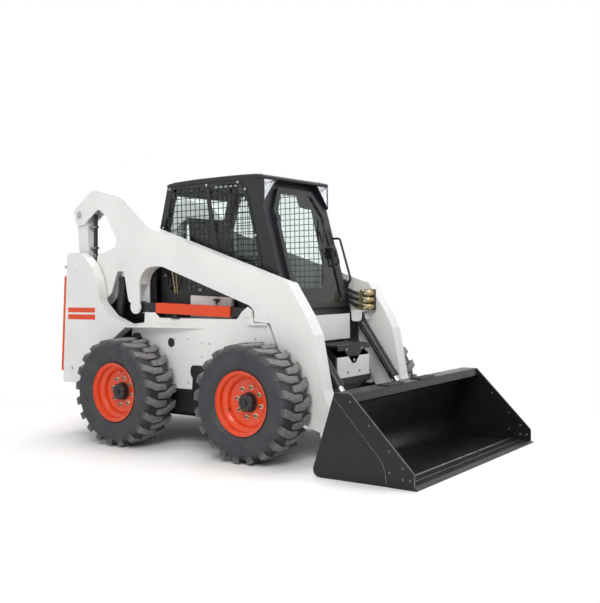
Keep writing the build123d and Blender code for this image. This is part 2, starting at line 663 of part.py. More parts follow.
def carrier():
    """Quick-attach carrier: plate on the bucket's back with ears for arms and cylinders."""
    t = CARRIER_PLATE
    low = 175.0
    high = 505.0
    rows = [
        (back_x(low), low, 0), (back_x(high), high, 0),
        (back_x(high, t), high, 0), (back_x(low, t), low, 0),
    ]
    plate = slab(rows, -CARRIER_HALF, CARRIER_HALF)
    ears = []
    arm_ear = [(back_x(190, t - 2), 190, 0), (back_x(300, t - 2), 300, 0),
               (PIN_BUCKET[0] + 20, PIN_BUCKET[1] + 50, 20),
               (PIN_BUCKET[0] - 50, PIN_BUCKET[1] + 10, 30),
               (PIN_BUCKET[0], PIN_BUCKET[1] - 52, 30)]
    rod_ear = [(back_x(300, t - 2), 300, 0), (back_x(470, t - 2), 470, 0),
               (PIN_TILT_EYE[0] - 10, PIN_TILT_EYE[1] + 42, 30),
               (PIN_TILT_EYE[0] - 40, PIN_TILT_EYE[1] - 20, 30),
               (PIN_TILT_EYE[0] + 10, PIN_TILT_EYE[1] - 45, 20)]
    eye_low = TILT_PLANE - TILT_EYE_WIDTH / 2
    eye_high = TILT_PLANE + TILT_EYE_WIDTH / 2
    for low_y, high_y in ((ARM_INNER - EAR_GAP - EAR, ARM_INNER - EAR_GAP),
                          (ARM_OUTER + EAR_GAP, ARM_OUTER + EAR_GAP + EAR)):
        ears.append(slab(arm_ear, low_y, high_y))
    ears.append(disc(PIN_BUCKET, PIN_RADIUS, ARM_INNER - EAR_GAP - EAR,
                     ARM_OUTER + EAR_GAP + EAR))
    ears.append(slab(rod_ear, eye_low - EAR_GAP - EAR, eye_low - EAR_GAP))
    ears.append(slab(rod_ear, eye_high + EAR_GAP, eye_high + EAR_GAP + EAR))
    ears.append(disc(PIN_TILT_EYE, PIN_HEAD - 8, eye_low - EAR_GAP - EAR - HEAD_THICK,
                     eye_low - EAR_GAP - EAR))
    whole = plate
    for ear in ears:
        for twin in both(ear):
            whole += twin
    return whole


# ---------------------------------------------------------------- cab
def front_x(z, offset=0.0):
    """x of the cab's leaning front at height z, offset forward along its normal."""
    return (DOOR_SILL[0] - (z - DOOR_SILL[1]) * DOOR_SLOPE
            + offset / math.cos(math.radians(DOOR_LEAN)))


def cab_rows(wall=0.0):
    top = CAB_TOP - 40
    return [
        (CAB_REAR + wall, CAB_FLOOR - (0 if wall == 0 else 5), 0),
        (CAB_REAR + wall, 1700, 20),
        (160 + wall, top + (0 if wall == 0 else 5), 10),
        (front_x(top, -wall), top + (0 if wall == 0 else 5), 0),
        (front_x(CAB_FLOOR, -wall), CAB_FLOOR - (0 if wall == 0 else 5), 0),
    ]


def window_rows():
    return [
        (225, 2000, 30), (905, 2000, 40), (978, 1880, 60), (1092, 1403, 30),
        (1120, 1200, 40), (160, 1200, 40), (122, 1690, 30),
    ]


def door_plane(along, forward=0.0):
    """Plane in the cab's front, its y axis up the front and its z axis forward."""
    lean = math.radians(DOOR_LEAN)
    up = (-math.sin(lean), 0, math.cos(lean))
    ahead = (math.cos(lean), 0, math.sin(lean))
    x = DOOR_SILL[0] + up[0] * along + ahead[0] * forward
    z = DOOR_SILL[1] + up[2] * along + ahead[2] * forward
    return Plane((x, 0, z), x_dir=(0, 1, 0), z_dir=ahead)


def door_outline(inset):
    """Door seen square-on: wide below, with cut upper corners."""
    half = DOOR_HALF - inset
    low = DOOR_LOW + inset
    high = DOOR_HIGH - inset
    cut = 120 - inset * 0.4
    points = [(-half, low), (half, low), (half, high - cut - 60), (half - cut, high),
              (cut - half, high), (-half, high - cut - 60)]
    outline = FilletPolyline(*points, radius=[24, 24, 50, 40, 40, 50], close=True)
    return make_face(outline)


def cab_frame():
    shell = slab(cab_rows(), -CAB_HALF, CAB_HALF)
    shell -= slab(cab_rows(CAB_WALL), -CAB_HALF + CAB_WALL, CAB_HALF - CAB_WALL)
    shell -= slab(window_rows(), -CAB_HALF - 5, CAB_HALF + 5)
    opening = extrude(door_plane(0, -CAB_WALL - 30) * door_outline(DOOR_RAIL - 14), amount=90)
    shell -= opening
    return shell - rear_opening()


def rear_opening():
    return box(CAB_REAR - 70, CAB_REAR + 190, -330, 330, 1480, 1960)


def cab_roof():
    base = CAB_TOP - 40
    rows = [
        (150, base, 0), (172, base + 24, 20), (560, CAB_TOP, 400), (1128, base + 36, 10),
        (1142, base + 6, 6), (1130, base - 22, 6), (1100, base, 0),
    ]
    return slab(rows, -CAB_HALF - 6, CAB_HALF + 6)


def side_screen():
    """Welded screen: frame, upright post and two layers of wire."""
    rows = window_rows()
    low_y = CAB_HALF
    high_y = CAB_HALF + SCREEN_WIRE
    big = slab([(225 - 20, 2018, 30), (915, 2018, 40), (996, 1886, 60), (1112, 1403, 30),
                (1140, 1180, 40), (140, 1180, 40), (104, 1690, 30)], low_y, high_y)
    hole = slab(rows, low_y - 1, high_y + 1)
    ring = big - hole
    wires = Part()
    y_mid = (low_y + high_y) / 2
    for step in range(1, 21):
        x = 122 + step * SCREEN_PITCH
        wires += box(x - 3, x + 3, y_mid, high_y, 1150, 2050)
    for step in range(1, 17):
        z = 1200 + step * SCREEN_PITCH
        wires += box(90, 1150, low_y, y_mid, z - 3, z + 3)
    post = slab([(560, 2010, 0), (600, 2010, 0), (745, 1190, 0), (700, 1190, 0)], low_y, high_y)
    return ring + ((wires + post) & hole)


def cab_windows():
    panes = both(slab(window_rows(), CAB_HALF - 20, CAB_HALF - 20 + GLASS))
    return panes + [rear_pane()]


def rear_pane():
    rows = [(CAB_REAR + 14, 1470, 0), (CAB_REAR + 14, 1703, 0), (152, 1970, 0),
            (152 + GLASS, 1968, 0), (CAB_REAR + 14 + GLASS, 1702, 0),
            (CAB_REAR + 14 + GLASS, 1470, 0)]
    return slab(rows, -330, 330) & rear_opening()


def cab_door():
    outer = extrude(door_plane(0, 0) * door_outline(DOOR_GAP), amount=DOOR_THICK)
    inner = extrude(door_plane(0, -1) * door_outline(DOOR_GAP + DOOR_RAIL), amount=DOOR_THICK + 2)
    frame = outer - inner
    glass = extrude(door_plane(0, 11) * door_outline(DOOR_GAP + DOOR_RAIL), amount=GLASS)
    return frame, glass


def wiper():
    base = door_plane(0, DOOR_THICK)
    motor = base * (Pos(DOOR_HALF - 40, 640, 12) * Box(44, 90, 24))
    blade = base * (Pos(DOOR_HALF - 75, 400, 6) * Rot(0, 0, -6) * Box(16, 560, 12))
    return motor + blade


def work_lights():
    lights = []
    for side in (-1, 1):
        points = [(side * (DOOR_HALF - 86), 1016), (side * (CAB_HALF - 8), 1016),
                  (side * (CAB_HALF - 8), 850)]
        lamp = extrude(door_plane(0, 0) * make_face(Polyline(*points, close=True)), amount=16)
        lights.append(lamp)
    return lights


def grab_handle():
    """D-shaped grab handle on the left front post."""
    y = CAB_HALF - 20
    points = [(front_x(1600, -8), y, 1600), (front_x(1600, 70), y, 1600),
              (front_x(1270, 80), y, 1270), (front_x(1215, 12), y, 1200)]
    path = FilletPolyline(*points, radius=[26, 26])
    start = path @ 0
    handle = sweep(Plane(start, z_dir=path % 0) * Circle(9), path=path)
    return handle - slab(cab_rows(), -CAB_HALF, CAB_HALF)


def seat():
    cushion = slab([(300, 1130, 20), (300, 1230, 30), (760, 1250, 40), (790, 1150, 30)],
                   -235, 235)
    back = slab([(215, 1225, 20), (180, 1800, 40), (270, 1800, 40), (345, 1225, 20)],
                -225, 225)
    return cushion + back


def seat_base():
    return slab([(260, CAB_FLOOR, 0), (300, 1130, 0), (700, 1130, 0), (640, CAB_FLOOR, 0)],
                -200, 200)


def consoles():
    """Arm rests with their joysticks."""
    rest = slab([(330, CAB_FLOOR, 0), (330, 1330, 20), (700, 1330, 30), (760, 1290, 20),
                 (640, CAB_FLOOR, 0)], 285, 380)
    stick = bar((720, 1290), (745, 1470), 14, 330, 0, 180)
    knob = bar((745, 1400), (752, 1470), 26, 330, 0, 90)
    return both(rest + stick + knob)


def couplers():
    """Hydraulic couplers on the inner face of the left arm."""
    block = box(1440, 1540, ARM_INNER - 45, ARM_INNER, 1045, 1185)
    stubs = Part()
    for z in (1070, 1115, 1160):
        stubs += Pos(1540, ARM_INNER - 24, z) * Rot(0, 90, 0) * Cylinder(
            17, 50, align=(Align.CENTER, Align.CENTER, Align.MIN))
    return block + stubs


# ---------------------------------------------------------------- the whole machine
def main():
    os.makedirs("parts", exist_ok=True)
    make_wheels()
    save("main_frame", main_frame())
    save("side_panels", *both(side_panel()))
    left, right = both(rear_tower())
    save("rear_towers", left + gate_brackets(), right)
    save("axle_tubes", *axle_tubes())
    save("front_panels", *front_panels())
    save("front_step", front_step())
    save("engine_block", engine_block())
    save("engine_cover", engine_cover())
    save("tailgate", tailgate())
    save("service_cover", service_cover())
    left, right = both(arm())
    save("lift_arm_left", left)
    save("lift_arm_right", right)
    save("arm_cross_tube", cross_tube())
    save("rear_links", *both(rear_link()))
    save("control_links", *both(control_link()))
    save("arm_support", arm_support())
    save("lift_barrels", *both(lift_barrel()))
    save("lift_rods", *both(lift_rod()))
    save("tilt_barrels", *both(tilt_barrel()))
    save("tilt_rods", *both(tilt_rod()))
    save("bucket_shell", bucket_shell())
    save("bucket_sides", *both(bucket_side()))
    save("cutting_edge", cutting_edge())
    save("quick_attach", carrier())
    save("cab_frame", cab_frame())
    save("cab_roof", cab_roof())
    save("side_screens", *both(side_screen()))
    save("cab_windows", *cab_windows())
    frame, glass = cab_door()
    save("door_frame", frame)
    save("door_glass", glass)
    save("door_wiper", wiper())
    save("work_lights", *work_lights())
    save("grab_handle", grab_handle())
    save("seat", seat())
    save("seat_base", seat_base())
    save("joystick_consoles", *consoles())
    save("hydraulic_couplers", couplers())


if __name__ == "__main__":
    main()
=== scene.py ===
"""Finishes and fittings of a compact skid steer loader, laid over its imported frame.

Every length is in metres. X runs forward to the bucket, Y to the operator's left and Z up,
with the origin on the ground under the middle of the machine.
"""

import json
import logging
import math
from collections.abc import Callable
from dataclasses import dataclass
from enum import Enum

import bmesh
import bpy
from mathutils import Matrix, Vector

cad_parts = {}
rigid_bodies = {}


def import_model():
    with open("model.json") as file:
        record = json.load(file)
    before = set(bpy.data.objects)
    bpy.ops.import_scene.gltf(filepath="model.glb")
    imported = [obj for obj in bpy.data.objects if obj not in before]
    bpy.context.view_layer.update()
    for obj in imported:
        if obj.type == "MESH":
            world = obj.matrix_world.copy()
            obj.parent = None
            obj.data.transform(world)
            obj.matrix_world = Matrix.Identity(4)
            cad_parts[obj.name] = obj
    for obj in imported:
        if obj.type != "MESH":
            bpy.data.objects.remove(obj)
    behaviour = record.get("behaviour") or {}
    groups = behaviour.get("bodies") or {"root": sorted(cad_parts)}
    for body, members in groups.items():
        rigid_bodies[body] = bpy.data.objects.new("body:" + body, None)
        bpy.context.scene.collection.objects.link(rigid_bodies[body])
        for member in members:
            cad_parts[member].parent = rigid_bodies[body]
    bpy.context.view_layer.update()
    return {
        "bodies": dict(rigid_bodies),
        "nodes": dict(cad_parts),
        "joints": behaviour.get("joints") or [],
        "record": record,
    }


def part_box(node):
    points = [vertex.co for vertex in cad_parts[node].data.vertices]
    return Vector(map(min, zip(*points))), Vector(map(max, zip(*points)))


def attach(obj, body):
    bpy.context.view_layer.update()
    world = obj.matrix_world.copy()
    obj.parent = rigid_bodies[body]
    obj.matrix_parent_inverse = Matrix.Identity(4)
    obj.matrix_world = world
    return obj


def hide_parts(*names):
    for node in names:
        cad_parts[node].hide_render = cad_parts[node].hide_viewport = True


LOG = logging.getLogger("loader")


REAR_AXLE = -0.901                 # x of the rear axle
BEND = 0.05                        # length that a hose's bend takes before a corner
SHARP_ANGLE = math.radians(35)     # faces meeting at more than this are shaded apart
BEVEL_ANGLE = math.radians(40)     # edges sharper than this are rounded
CLOTH_FRAMES = 20                  # frames that the seat's pads swell for
UP = Vector((0, 0, 1))


def from_axle(x: float, y: float, z: float) -> Vector:
    """Returns the place of a point given in millimetres from the rear axle."""
    return Vector((x / 1000 + REAR_AXLE, y / 1000, z / 1000))


def beside(start: tuple, end: tuple, distance: float,
           offset: float = 0.0) -> tuple[float, float]:
    """Finds a side-view point along a line.

    Args:
        start: (x, z) of the line's start.
        end: (x, z) of its end.
        distance: how far along the line the point is.
        offset: how far above it the point is.

    Returns:
        The point as (x, z).
    """
    length = math.dist(start, end)
    ux, uz = (end[0] - start[0]) / length, (end[1] - start[1]) / length
    return (start[0] + ux * distance - uz * offset, start[1] + uz * distance + ux * offset)


class Side(Enum):
    """The two sides of the machine, as the sign of Y."""

    LEFT = 1
    RIGHT = -1

    @property
    def out(self) -> Vector:
        """Direction away from the machine on this side."""
        return Vector((0, self.value, 0))

    def at(self, x: float, y: float, z: float) -> Vector:
        """Returns the place of a point in millimetres, with y counted outward."""
        return from_axle(x, self.value * y, z)


# ---------------------------------------------------------------- shader graphs
class Graph:
    """A node tree with short calls to add nodes and join them."""

    def __init__(self, tree: bpy.types.NodeTree) -> None:
        """Empties the tree to build in.

        Args:
            tree: the tree.
        """
        self.tree = tree
        tree.nodes.clear()

    def add(self, kind: str, inputs: dict | None = None, **props: object) -> bpy.types.Node:
        """Adds one node.

        Args:
            kind: the node's type name.
            inputs: a value or an output socket for each named or numbered input.
            props: attributes of the node itself.

        Returns:
            The new node.
        """
        node = self.tree.nodes.new(kind)
        for key, value in props.items():
            setattr(node, key, value)
        for key, value in (inputs or {}).items():
            if isinstance(value, bpy.types.NodeSocket):
                self.tree.links.new(value, node.inputs[key])
            else:
                node.inputs[key].default_value = value
        return node

    def object_coordinates(self) -> bpy.types.NodeSocket:
        """Returns the surface point in the piece's own coordinates."""
        return self.add("ShaderNodeTexCoord").outputs["Object"]

    def noise(self, scale: float, detail: float = 3.0, at: object = None) -> bpy.types.NodeSocket:
        """Adds cloudy noise.

        Args:
            scale: pattern repeats to a metre.
            detail: octaves of the pattern.
            at: socket with the point to read, or None for the piece's own coordinates.

        Returns:
            A grey value around 0.5.
        """
        place = at or self.object_coordinates()
        return self.add("ShaderNodeTexNoise", {"Vector": place, "Scale": scale,
                                               "Detail": detail}).outputs["Fac"]

    def ramp(self, value: object, stops: list[tuple[float, float]]) -> bpy.types.NodeSocket:
        """Spreads a value between two greys.

        Args:
            value: the socket to read.
            stops: the low and the high stop as (place, grey).

        Returns:
            The grey value between the stops.
        """
        node = self.add("ShaderNodeMapRange", {"Value": value, "From Min": stops[0][0],
                                               "From Max": stops[1][0], "To Min": stops[0][1],
                                               "To Max": stops[1][1]})
        return node.outputs["Result"]

    def mix(self, share: object, low: tuple, high: tuple) -> bpy.types.NodeSocket:
        """Mixes two colours.

        Args:
            share: socket or number, 0 for the low colour and 1 for the high one.
            low: first colour, or a socket.
            high: second colour, or a socket.

        Returns:
            The mixed colour.
        """
        node = self.add("ShaderNodeMix", data_type="RGBA")
        for index, value in ((0, share), (6, low), (7, high)):
            if isinstance(value, bpy.types.NodeSocket):
                self.tree.links.new(value, node.inputs[index])
            else:
                node.inputs[index].default_value = (
                    value if index == 0 else (*value[:3], 1.0))
        return node.outputs[2]

    def math(self, operation: str, first: object, second: object = 0.0) -> bpy.types.NodeSocket:
        """Returns the result of one arithmetic operation on two values or sockets."""
        return self.add("ShaderNodeMath", {0: first, 1: second}, operation=operation).outputs[0]

    def bump(self, height: object, depth: float, strength: float) -> bpy.types.NodeSocket:
        """Bends the normal over a relief.

        Args:
            height: socket with the height of the relief.
            depth: its depth in metres.
            strength: how much of it shows.

        Returns:
            The bent normal.
        """
        node = self.add("ShaderNodeBump", {"Height": height, "Distance": depth,
                                           "Strength": strength})
        return node.outputs["Normal"]

    def surface(self, inputs: dict) -> None:
        """Ends the tree in a principled shader with these inputs."""
        shader = self.add("ShaderNodeBsdfPrincipled", inputs)
        self.add("ShaderNodeOutputMaterial", {"Surface": shader.outputs[0]})


def shade(colour: tuple, factor: float) -> tuple:
    """Returns the colour made lighter or darker by a factor."""
    return tuple(min(1.0, channel * factor) for channel in colour[:3])


@dataclass(frozen=True)
class Finish:
    """A surface finish of the machine.

    Attributes:
        name: the material's name.
        colour: linear base colour.
        roughness: mean roughness.
        slot: the record's material slot that it belongs to; not used.
    """

    name: str
    colour: tuple[float, float, float]
    roughness: float
    slot: str = "black_paint"

    def material(self) -> bpy.types.Material:
        """Returns the material, made on the first call."""
        found = bpy.data.materials.get(self.name)
        if found:
            return found
        made = bpy.data.materials.new(self.name)
        made.use_nodes = True
        self.paint(Graph(made.node_tree))
        made.diffuse_color = (*self.colour, 1.0)
        return made

    def paint(self, graph: Graph) -> None:
        """Builds the finish's nodes in the graph."""
        raise NotImplementedError

    def uneven_roughness(self, graph: Graph, scale: float, spread: float) -> bpy.types.NodeSocket:
        """Returns a roughness that wanders about the mean by the spread."""
        low, high = self.roughness - spread, self.roughness + spread
        return graph.ramp(graph.noise(scale), [(0.3, max(low, 0.02)), (0.7, high)])


@dataclass(frozen=True)
class Enamel(Finish):
    """Sprayed enamel with slight orange peel, cloudiness and road dust low down.

    Attributes:
        coat: weight of the clear layer.
        peel: depth of the orange peel in metres.
        dust: share of dust at ground level.
        dust_height: height in metres at which the dust ends.
        dust_colour: linear colour of the dust.
        shine: strength of the paint's own reflection.
    """

    coat: float = 0.25
    peel: float = 0.0004
    dust: float = 0.25
    dust_height: float = 0.7
    dust_colour: tuple[float, float, float] = (0.33, 0.30, 0.27)
    shine: float = 0.5

    def paint(self, graph: Graph) -> None:
        """Builds cloudy paint, dust that fades upward and a fine orange peel."""
        place = graph.object_coordinates()
        cloud = graph.ramp(graph.noise(2.3, 4.0, place), [(0.35, 0.0), (0.65, 1.0)])
        paint = graph.mix(cloud, shade(self.colour, 0.95), shade(self.colour, 1.03))
        height = graph.add("ShaderNodeSeparateXYZ", {0: place}).outputs["Z"]
        low = graph.ramp(height, [(0.0, self.dust), (self.dust_height, 0.0)])
        patches = graph.ramp(graph.noise(11.0, 8.0, place), [(0.38, 0.15), (0.62, 1.0)])
        share = graph.math("MULTIPLY", low, patches)
        share = graph.add("ShaderNodeClamp", {"Value": share}).outputs[0]
        peel = graph.noise(420.0, 1.0, place)
        graph.surface({
            "Base Color": graph.mix(share, paint, self.dust_colour),
            "Roughness": self.uneven_roughness(graph, 7.0, 0.06),
            "Specular IOR Level": self.shine,
            "Coat Weight": self.coat,
            "Coat Roughness": 0.12,
            "Normal": graph.bump(peel, self.peel, 0.25),
        })


@dataclass(frozen=True)
class Rubber(Finish):
    """Tyre or hose rubber with a fine grain and a little grey bloom.

    Attributes:
        bloom: share of grey bloom.
        grain: grain lumps to a metre.
    """

    bloom: float = 0.35
    grain: float = 260.0

    def paint(self, graph: Graph) -> None:
        """Builds matt rubber with bloom in soft patches and a moulded grain."""
        place = graph.object_coordinates()
        patches = graph.ramp(graph.noise(9.0, 8.0, place), [(0.35, 0.0), (0.7, self.bloom)])
        colour = graph.mix(patches, self.colour, (0.17, 0.16, 0.15))
        graph.surface({
            "Base Color": colour,
            "Roughness": self.uneven_roughness(graph, 30.0, 0.08),
            "Specular IOR Level": 0.4,
            "Normal": graph.bump(graph.noise(self.grain, 4.0, place), 0.0006, 0.5),
        })


@dataclass(frozen=True)
class Tread(Rubber):
    """Tyre rubber whose lugs are worn pale and dusty on top.

    Attributes:
        worn: linear colour of the worn tops.
    """

    worn: tuple[float, float, float] = (0.215, 0.208, 0.202)

    def paint(self, graph: Graph) -> None:
        """Builds dark rubber that turns pale where the mesh says it is worn."""
        place = graph.object_coordinates()
        wear = graph.add("ShaderNodeAttribute", attribute_name="wear",
                         attribute_type="GEOMETRY").outputs["Fac"]
        patches = graph.ramp(graph.noise(38.0, 6.0, place), [(0.30, 0.55), (0.62, 1.0)])
        share = graph.math("MULTIPLY", wear, patches)
        bloom = graph.ramp(graph.noise(9.0, 8.0, place), [(0.35, 0.0), (0.75, self.bloom)])
        dark = graph.mix(bloom, self.colour, (0.085, 0.088, 0.094))
        graph.surface({
            "Base Color": graph.mix(share, dark, self.worn),
            "Roughness": self.uneven_roughness(graph, 30.0, 0.08),
            "Specular IOR Level": 0.45,
            "Normal": graph.bump(graph.noise(self.grain, 4.0, place), 0.0006, 0.5),
        })


@dataclass(frozen=True)
class Moulded(Finish):
    """Moulded plastic or textured powder coat with a leather-like grain.

    Attributes:
        grain: grain cells to a metre.
        depth: depth of the grain in metres.
    """

    grain: float = 700.0
    depth: float = 0.0003

    def paint(self, graph: Graph) -> None:
        """Builds a grained surface with slight tone changes."""
        place = graph.object_coordinates()
        cells = graph.add("ShaderNodeTexVoronoi", {"Vector": place, "Scale": self.grain})
        tone = graph.ramp(graph.noise(4.0, 4.0, place), [(0.3, 0.0), (0.7, 1.0)])
        graph.surface({
            "Base Color": graph.mix(tone, shade(self.colour, 0.85), shade(self.colour, 1.2)),
            "Roughness": self.uneven_roughness(graph, 12.0, 0.07),
            "Normal": graph.bump(cells.outputs["Distance"], self.depth, 0.4),
        })


@dataclass(frozen=True)
class Metal(Finish):
    """Bare or plated metal with faint scratches along one axis.

    Attributes:
        tone: second colour of the plating, or None for one colour.
        scratches: depth of the scratches in metres.
    """

    tone: tuple[float, float, float] | None = None
    scratches: float = 0.0001

    def paint(self, graph: Graph) -> None:
        """Builds metal with cloudy plating and fine stretched scratches."""
        place = graph.object_coordinates()
        cloud = graph.ramp(graph.noise(28.0, 5.0, place), [(0.35, 0.0), (0.65, 1.0)])
        stretch = graph.add("ShaderNodeMapping", {"Vector": place,
                                                  "Scale": (900.0, 900.0, 60.0)})
        fine = graph.noise(1.0, 2.0, stretch.outputs[0])
        graph.surface({
            "Base Color": graph.mix(cloud, self.colour, self.tone or shade(self.colour, 0.88)),
            "Metallic": 1.0,
            "Roughness": self.uneven_roughness(graph, 40.0, 0.05),
            "Normal": graph.bump(fine, self.scratches, 0.3),
        })


@dataclass(frozen=True)
class Glazing(Finish):
    """Clear, tinted or ribbed glass.

    Attributes:
        ribs: ribs to a metre, 0 for a plain pane.
        dust: share of haze on the pane.
    """

    ribs: float = 0.0
    dust: float = 0.04

    def paint(self, graph: Graph) -> None:
        """Builds transmitting glass with a faint haze and, for a lens, ribs."""
        place = graph.object_coordinates()
        haze = graph.ramp(graph.noise(6.0, 6.0, place), [(0.3, 0.0), (0.8, self.dust)])
        inputs = {
            "Base Color": graph.mix(haze, self.colour, (0.8, 0.8, 0.78)),
            "Roughness": graph.ramp(graph.noise(18.0, 3.0, place),
                                    [(0.3, self.roughness), (0.7, self.roughness + 0.03)]),
            "Transmission Weight": 1.0,
            "IOR": 1.3,
        }
        if self.ribs:
            wave = graph.add("ShaderNodeTexWave", {"Vector": place, "Scale": self.ribs / 20.0})
            inputs["Normal"] = graph.bump(wave.outputs["Fac"], 0.002, 0.6)
        graph.surface(inputs)


class Finishes:
    """The machine's palette, one finish to each slot of the record."""

    def __init__(self) -> None:
        """Names each finish and its colour."""
        self.white = Enamel("white enamel", (0.80, 0.80, 0.79), 0.34, "white_paint", dust=0.22)
        self.orange = Enamel("orange enamel", (0.74, 0.058, 0.006), 0.28, "orange_paint",
                             coat=0.30, shine=0.40, dust=0.08)
        self.black = Enamel("black enamel", (0.0095, 0.010, 0.0125), 0.40, "black_paint",
                            coat=0.12, shine=0.40, dust=0.16,
                            dust_colour=(0.07, 0.068, 0.065))
        self.bucket = Enamel("bucket enamel", (0.0055, 0.0062, 0.0082), 0.38, "bucket_paint",
                             coat=0.10, shine=0.32, dust=0.10, dust_height=0.40,
                             dust_colour=(0.032, 0.031, 0.031))
        self.cab = Moulded("cab powder coat", (0.0085, 0.0095, 0.0125), 0.38, "cab_paint",
                           grain=1100.0)
        self.tread = Tread("tyre rubber", (0.026, 0.029, 0.034), 0.60, "tyre_rubber")
        self.hose = Rubber("hose rubber", (0.014, 0.014, 0.015), 0.50, "black_plastic", bloom=0.1)
        self.plastic = Moulded("black plastic", (0.016, 0.016, 0.017), 0.48, "black_plastic")
        self.vinyl = Moulded("seat vinyl", (0.024, 0.024, 0.026), 0.52, "seat_vinyl",
                             grain=420.0, depth=0.0006)
        self.iron = Moulded("engine paint", (0.045, 0.045, 0.046), 0.6, "cast_iron",
                            grain=150.0, depth=0.0012)
        self.chrome = Metal("hard chrome", (0.70, 0.70, 0.72), 0.12, "chromed_rod")
        self.zinc = Metal("yellow zinc", (0.40, 0.29, 0.12), 0.34, "zinc_brass",
                          tone=(0.55, 0.47, 0.28))
        self.brass = Metal("washer zinc", (0.62, 0.56, 0.42), 0.28, "zinc_brass",
                           tone=(0.50, 0.44, 0.30))
        self.silver = Metal("bright zinc", (0.52, 0.53, 0.55), 0.32, "zinc_brass",
                            tone=(0.40, 0.41, 0.42))
        self.steel = Metal("worn steel", (0.30, 0.295, 0.29), 0.36, "cast_iron",
                           tone=(0.19, 0.185, 0.18))
        self.bolt = Metal("black zinc", (0.09, 0.09, 0.095), 0.34, "black_paint",
                          tone=(0.15, 0.145, 0.14))
        # Pale steel drawn as thin lines on the bucket's edges: painted edge highlights.
        self.highlight_steel = Metal("painted edge highlight", (0.30, 0.30, 0.31), 0.42, "bucket_paint",
                                tone=(0.12, 0.12, 0.124))
        self.mirror = Metal("lamp reflector", (0.90, 0.90, 0.91), 0.10, "lamp_glass",
                            tone=(0.80, 0.81, 0.83))
        self.red_lens = Glazing("red lens", (0.55, 0.02, 0.015), 0.08, "lamp_glass", ribs=90.0)
        self.glass = Glazing("tinted glass", (0.90, 0.955, 0.945), 0.02, "tinted_glass")
        self.lens = Glazing("lamp lens", (0.92, 0.93, 0.95), 0.03, "lamp_glass", ribs=120.0)
        self.slots = {
            "white_paint": self.white, "orange_paint": self.orange, "orange_gloss": self.orange,
            "black_paint": self.black, "bucket_paint": self.bucket, "cab_paint": self.cab,
            "tyre_rubber": self.tread, "black_plastic": self.plastic,
            "seat_vinyl": self.vinyl, "cast_iron": self.iron, "chromed_rod": self.chrome,
            "zinc_brass": self.zinc, "tinted_glass": self.glass, "lamp_glass": self.lens,
        }

    def dress(self, frame: dict) -> None:
        """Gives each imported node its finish.
        """
        for part in frame["record"]["subparts"]:
            mesh = frame["nodes"][part["node"]].data
            mesh.materials.clear()
            mesh.materials.append(self.slots[part["material_slot"]].material())


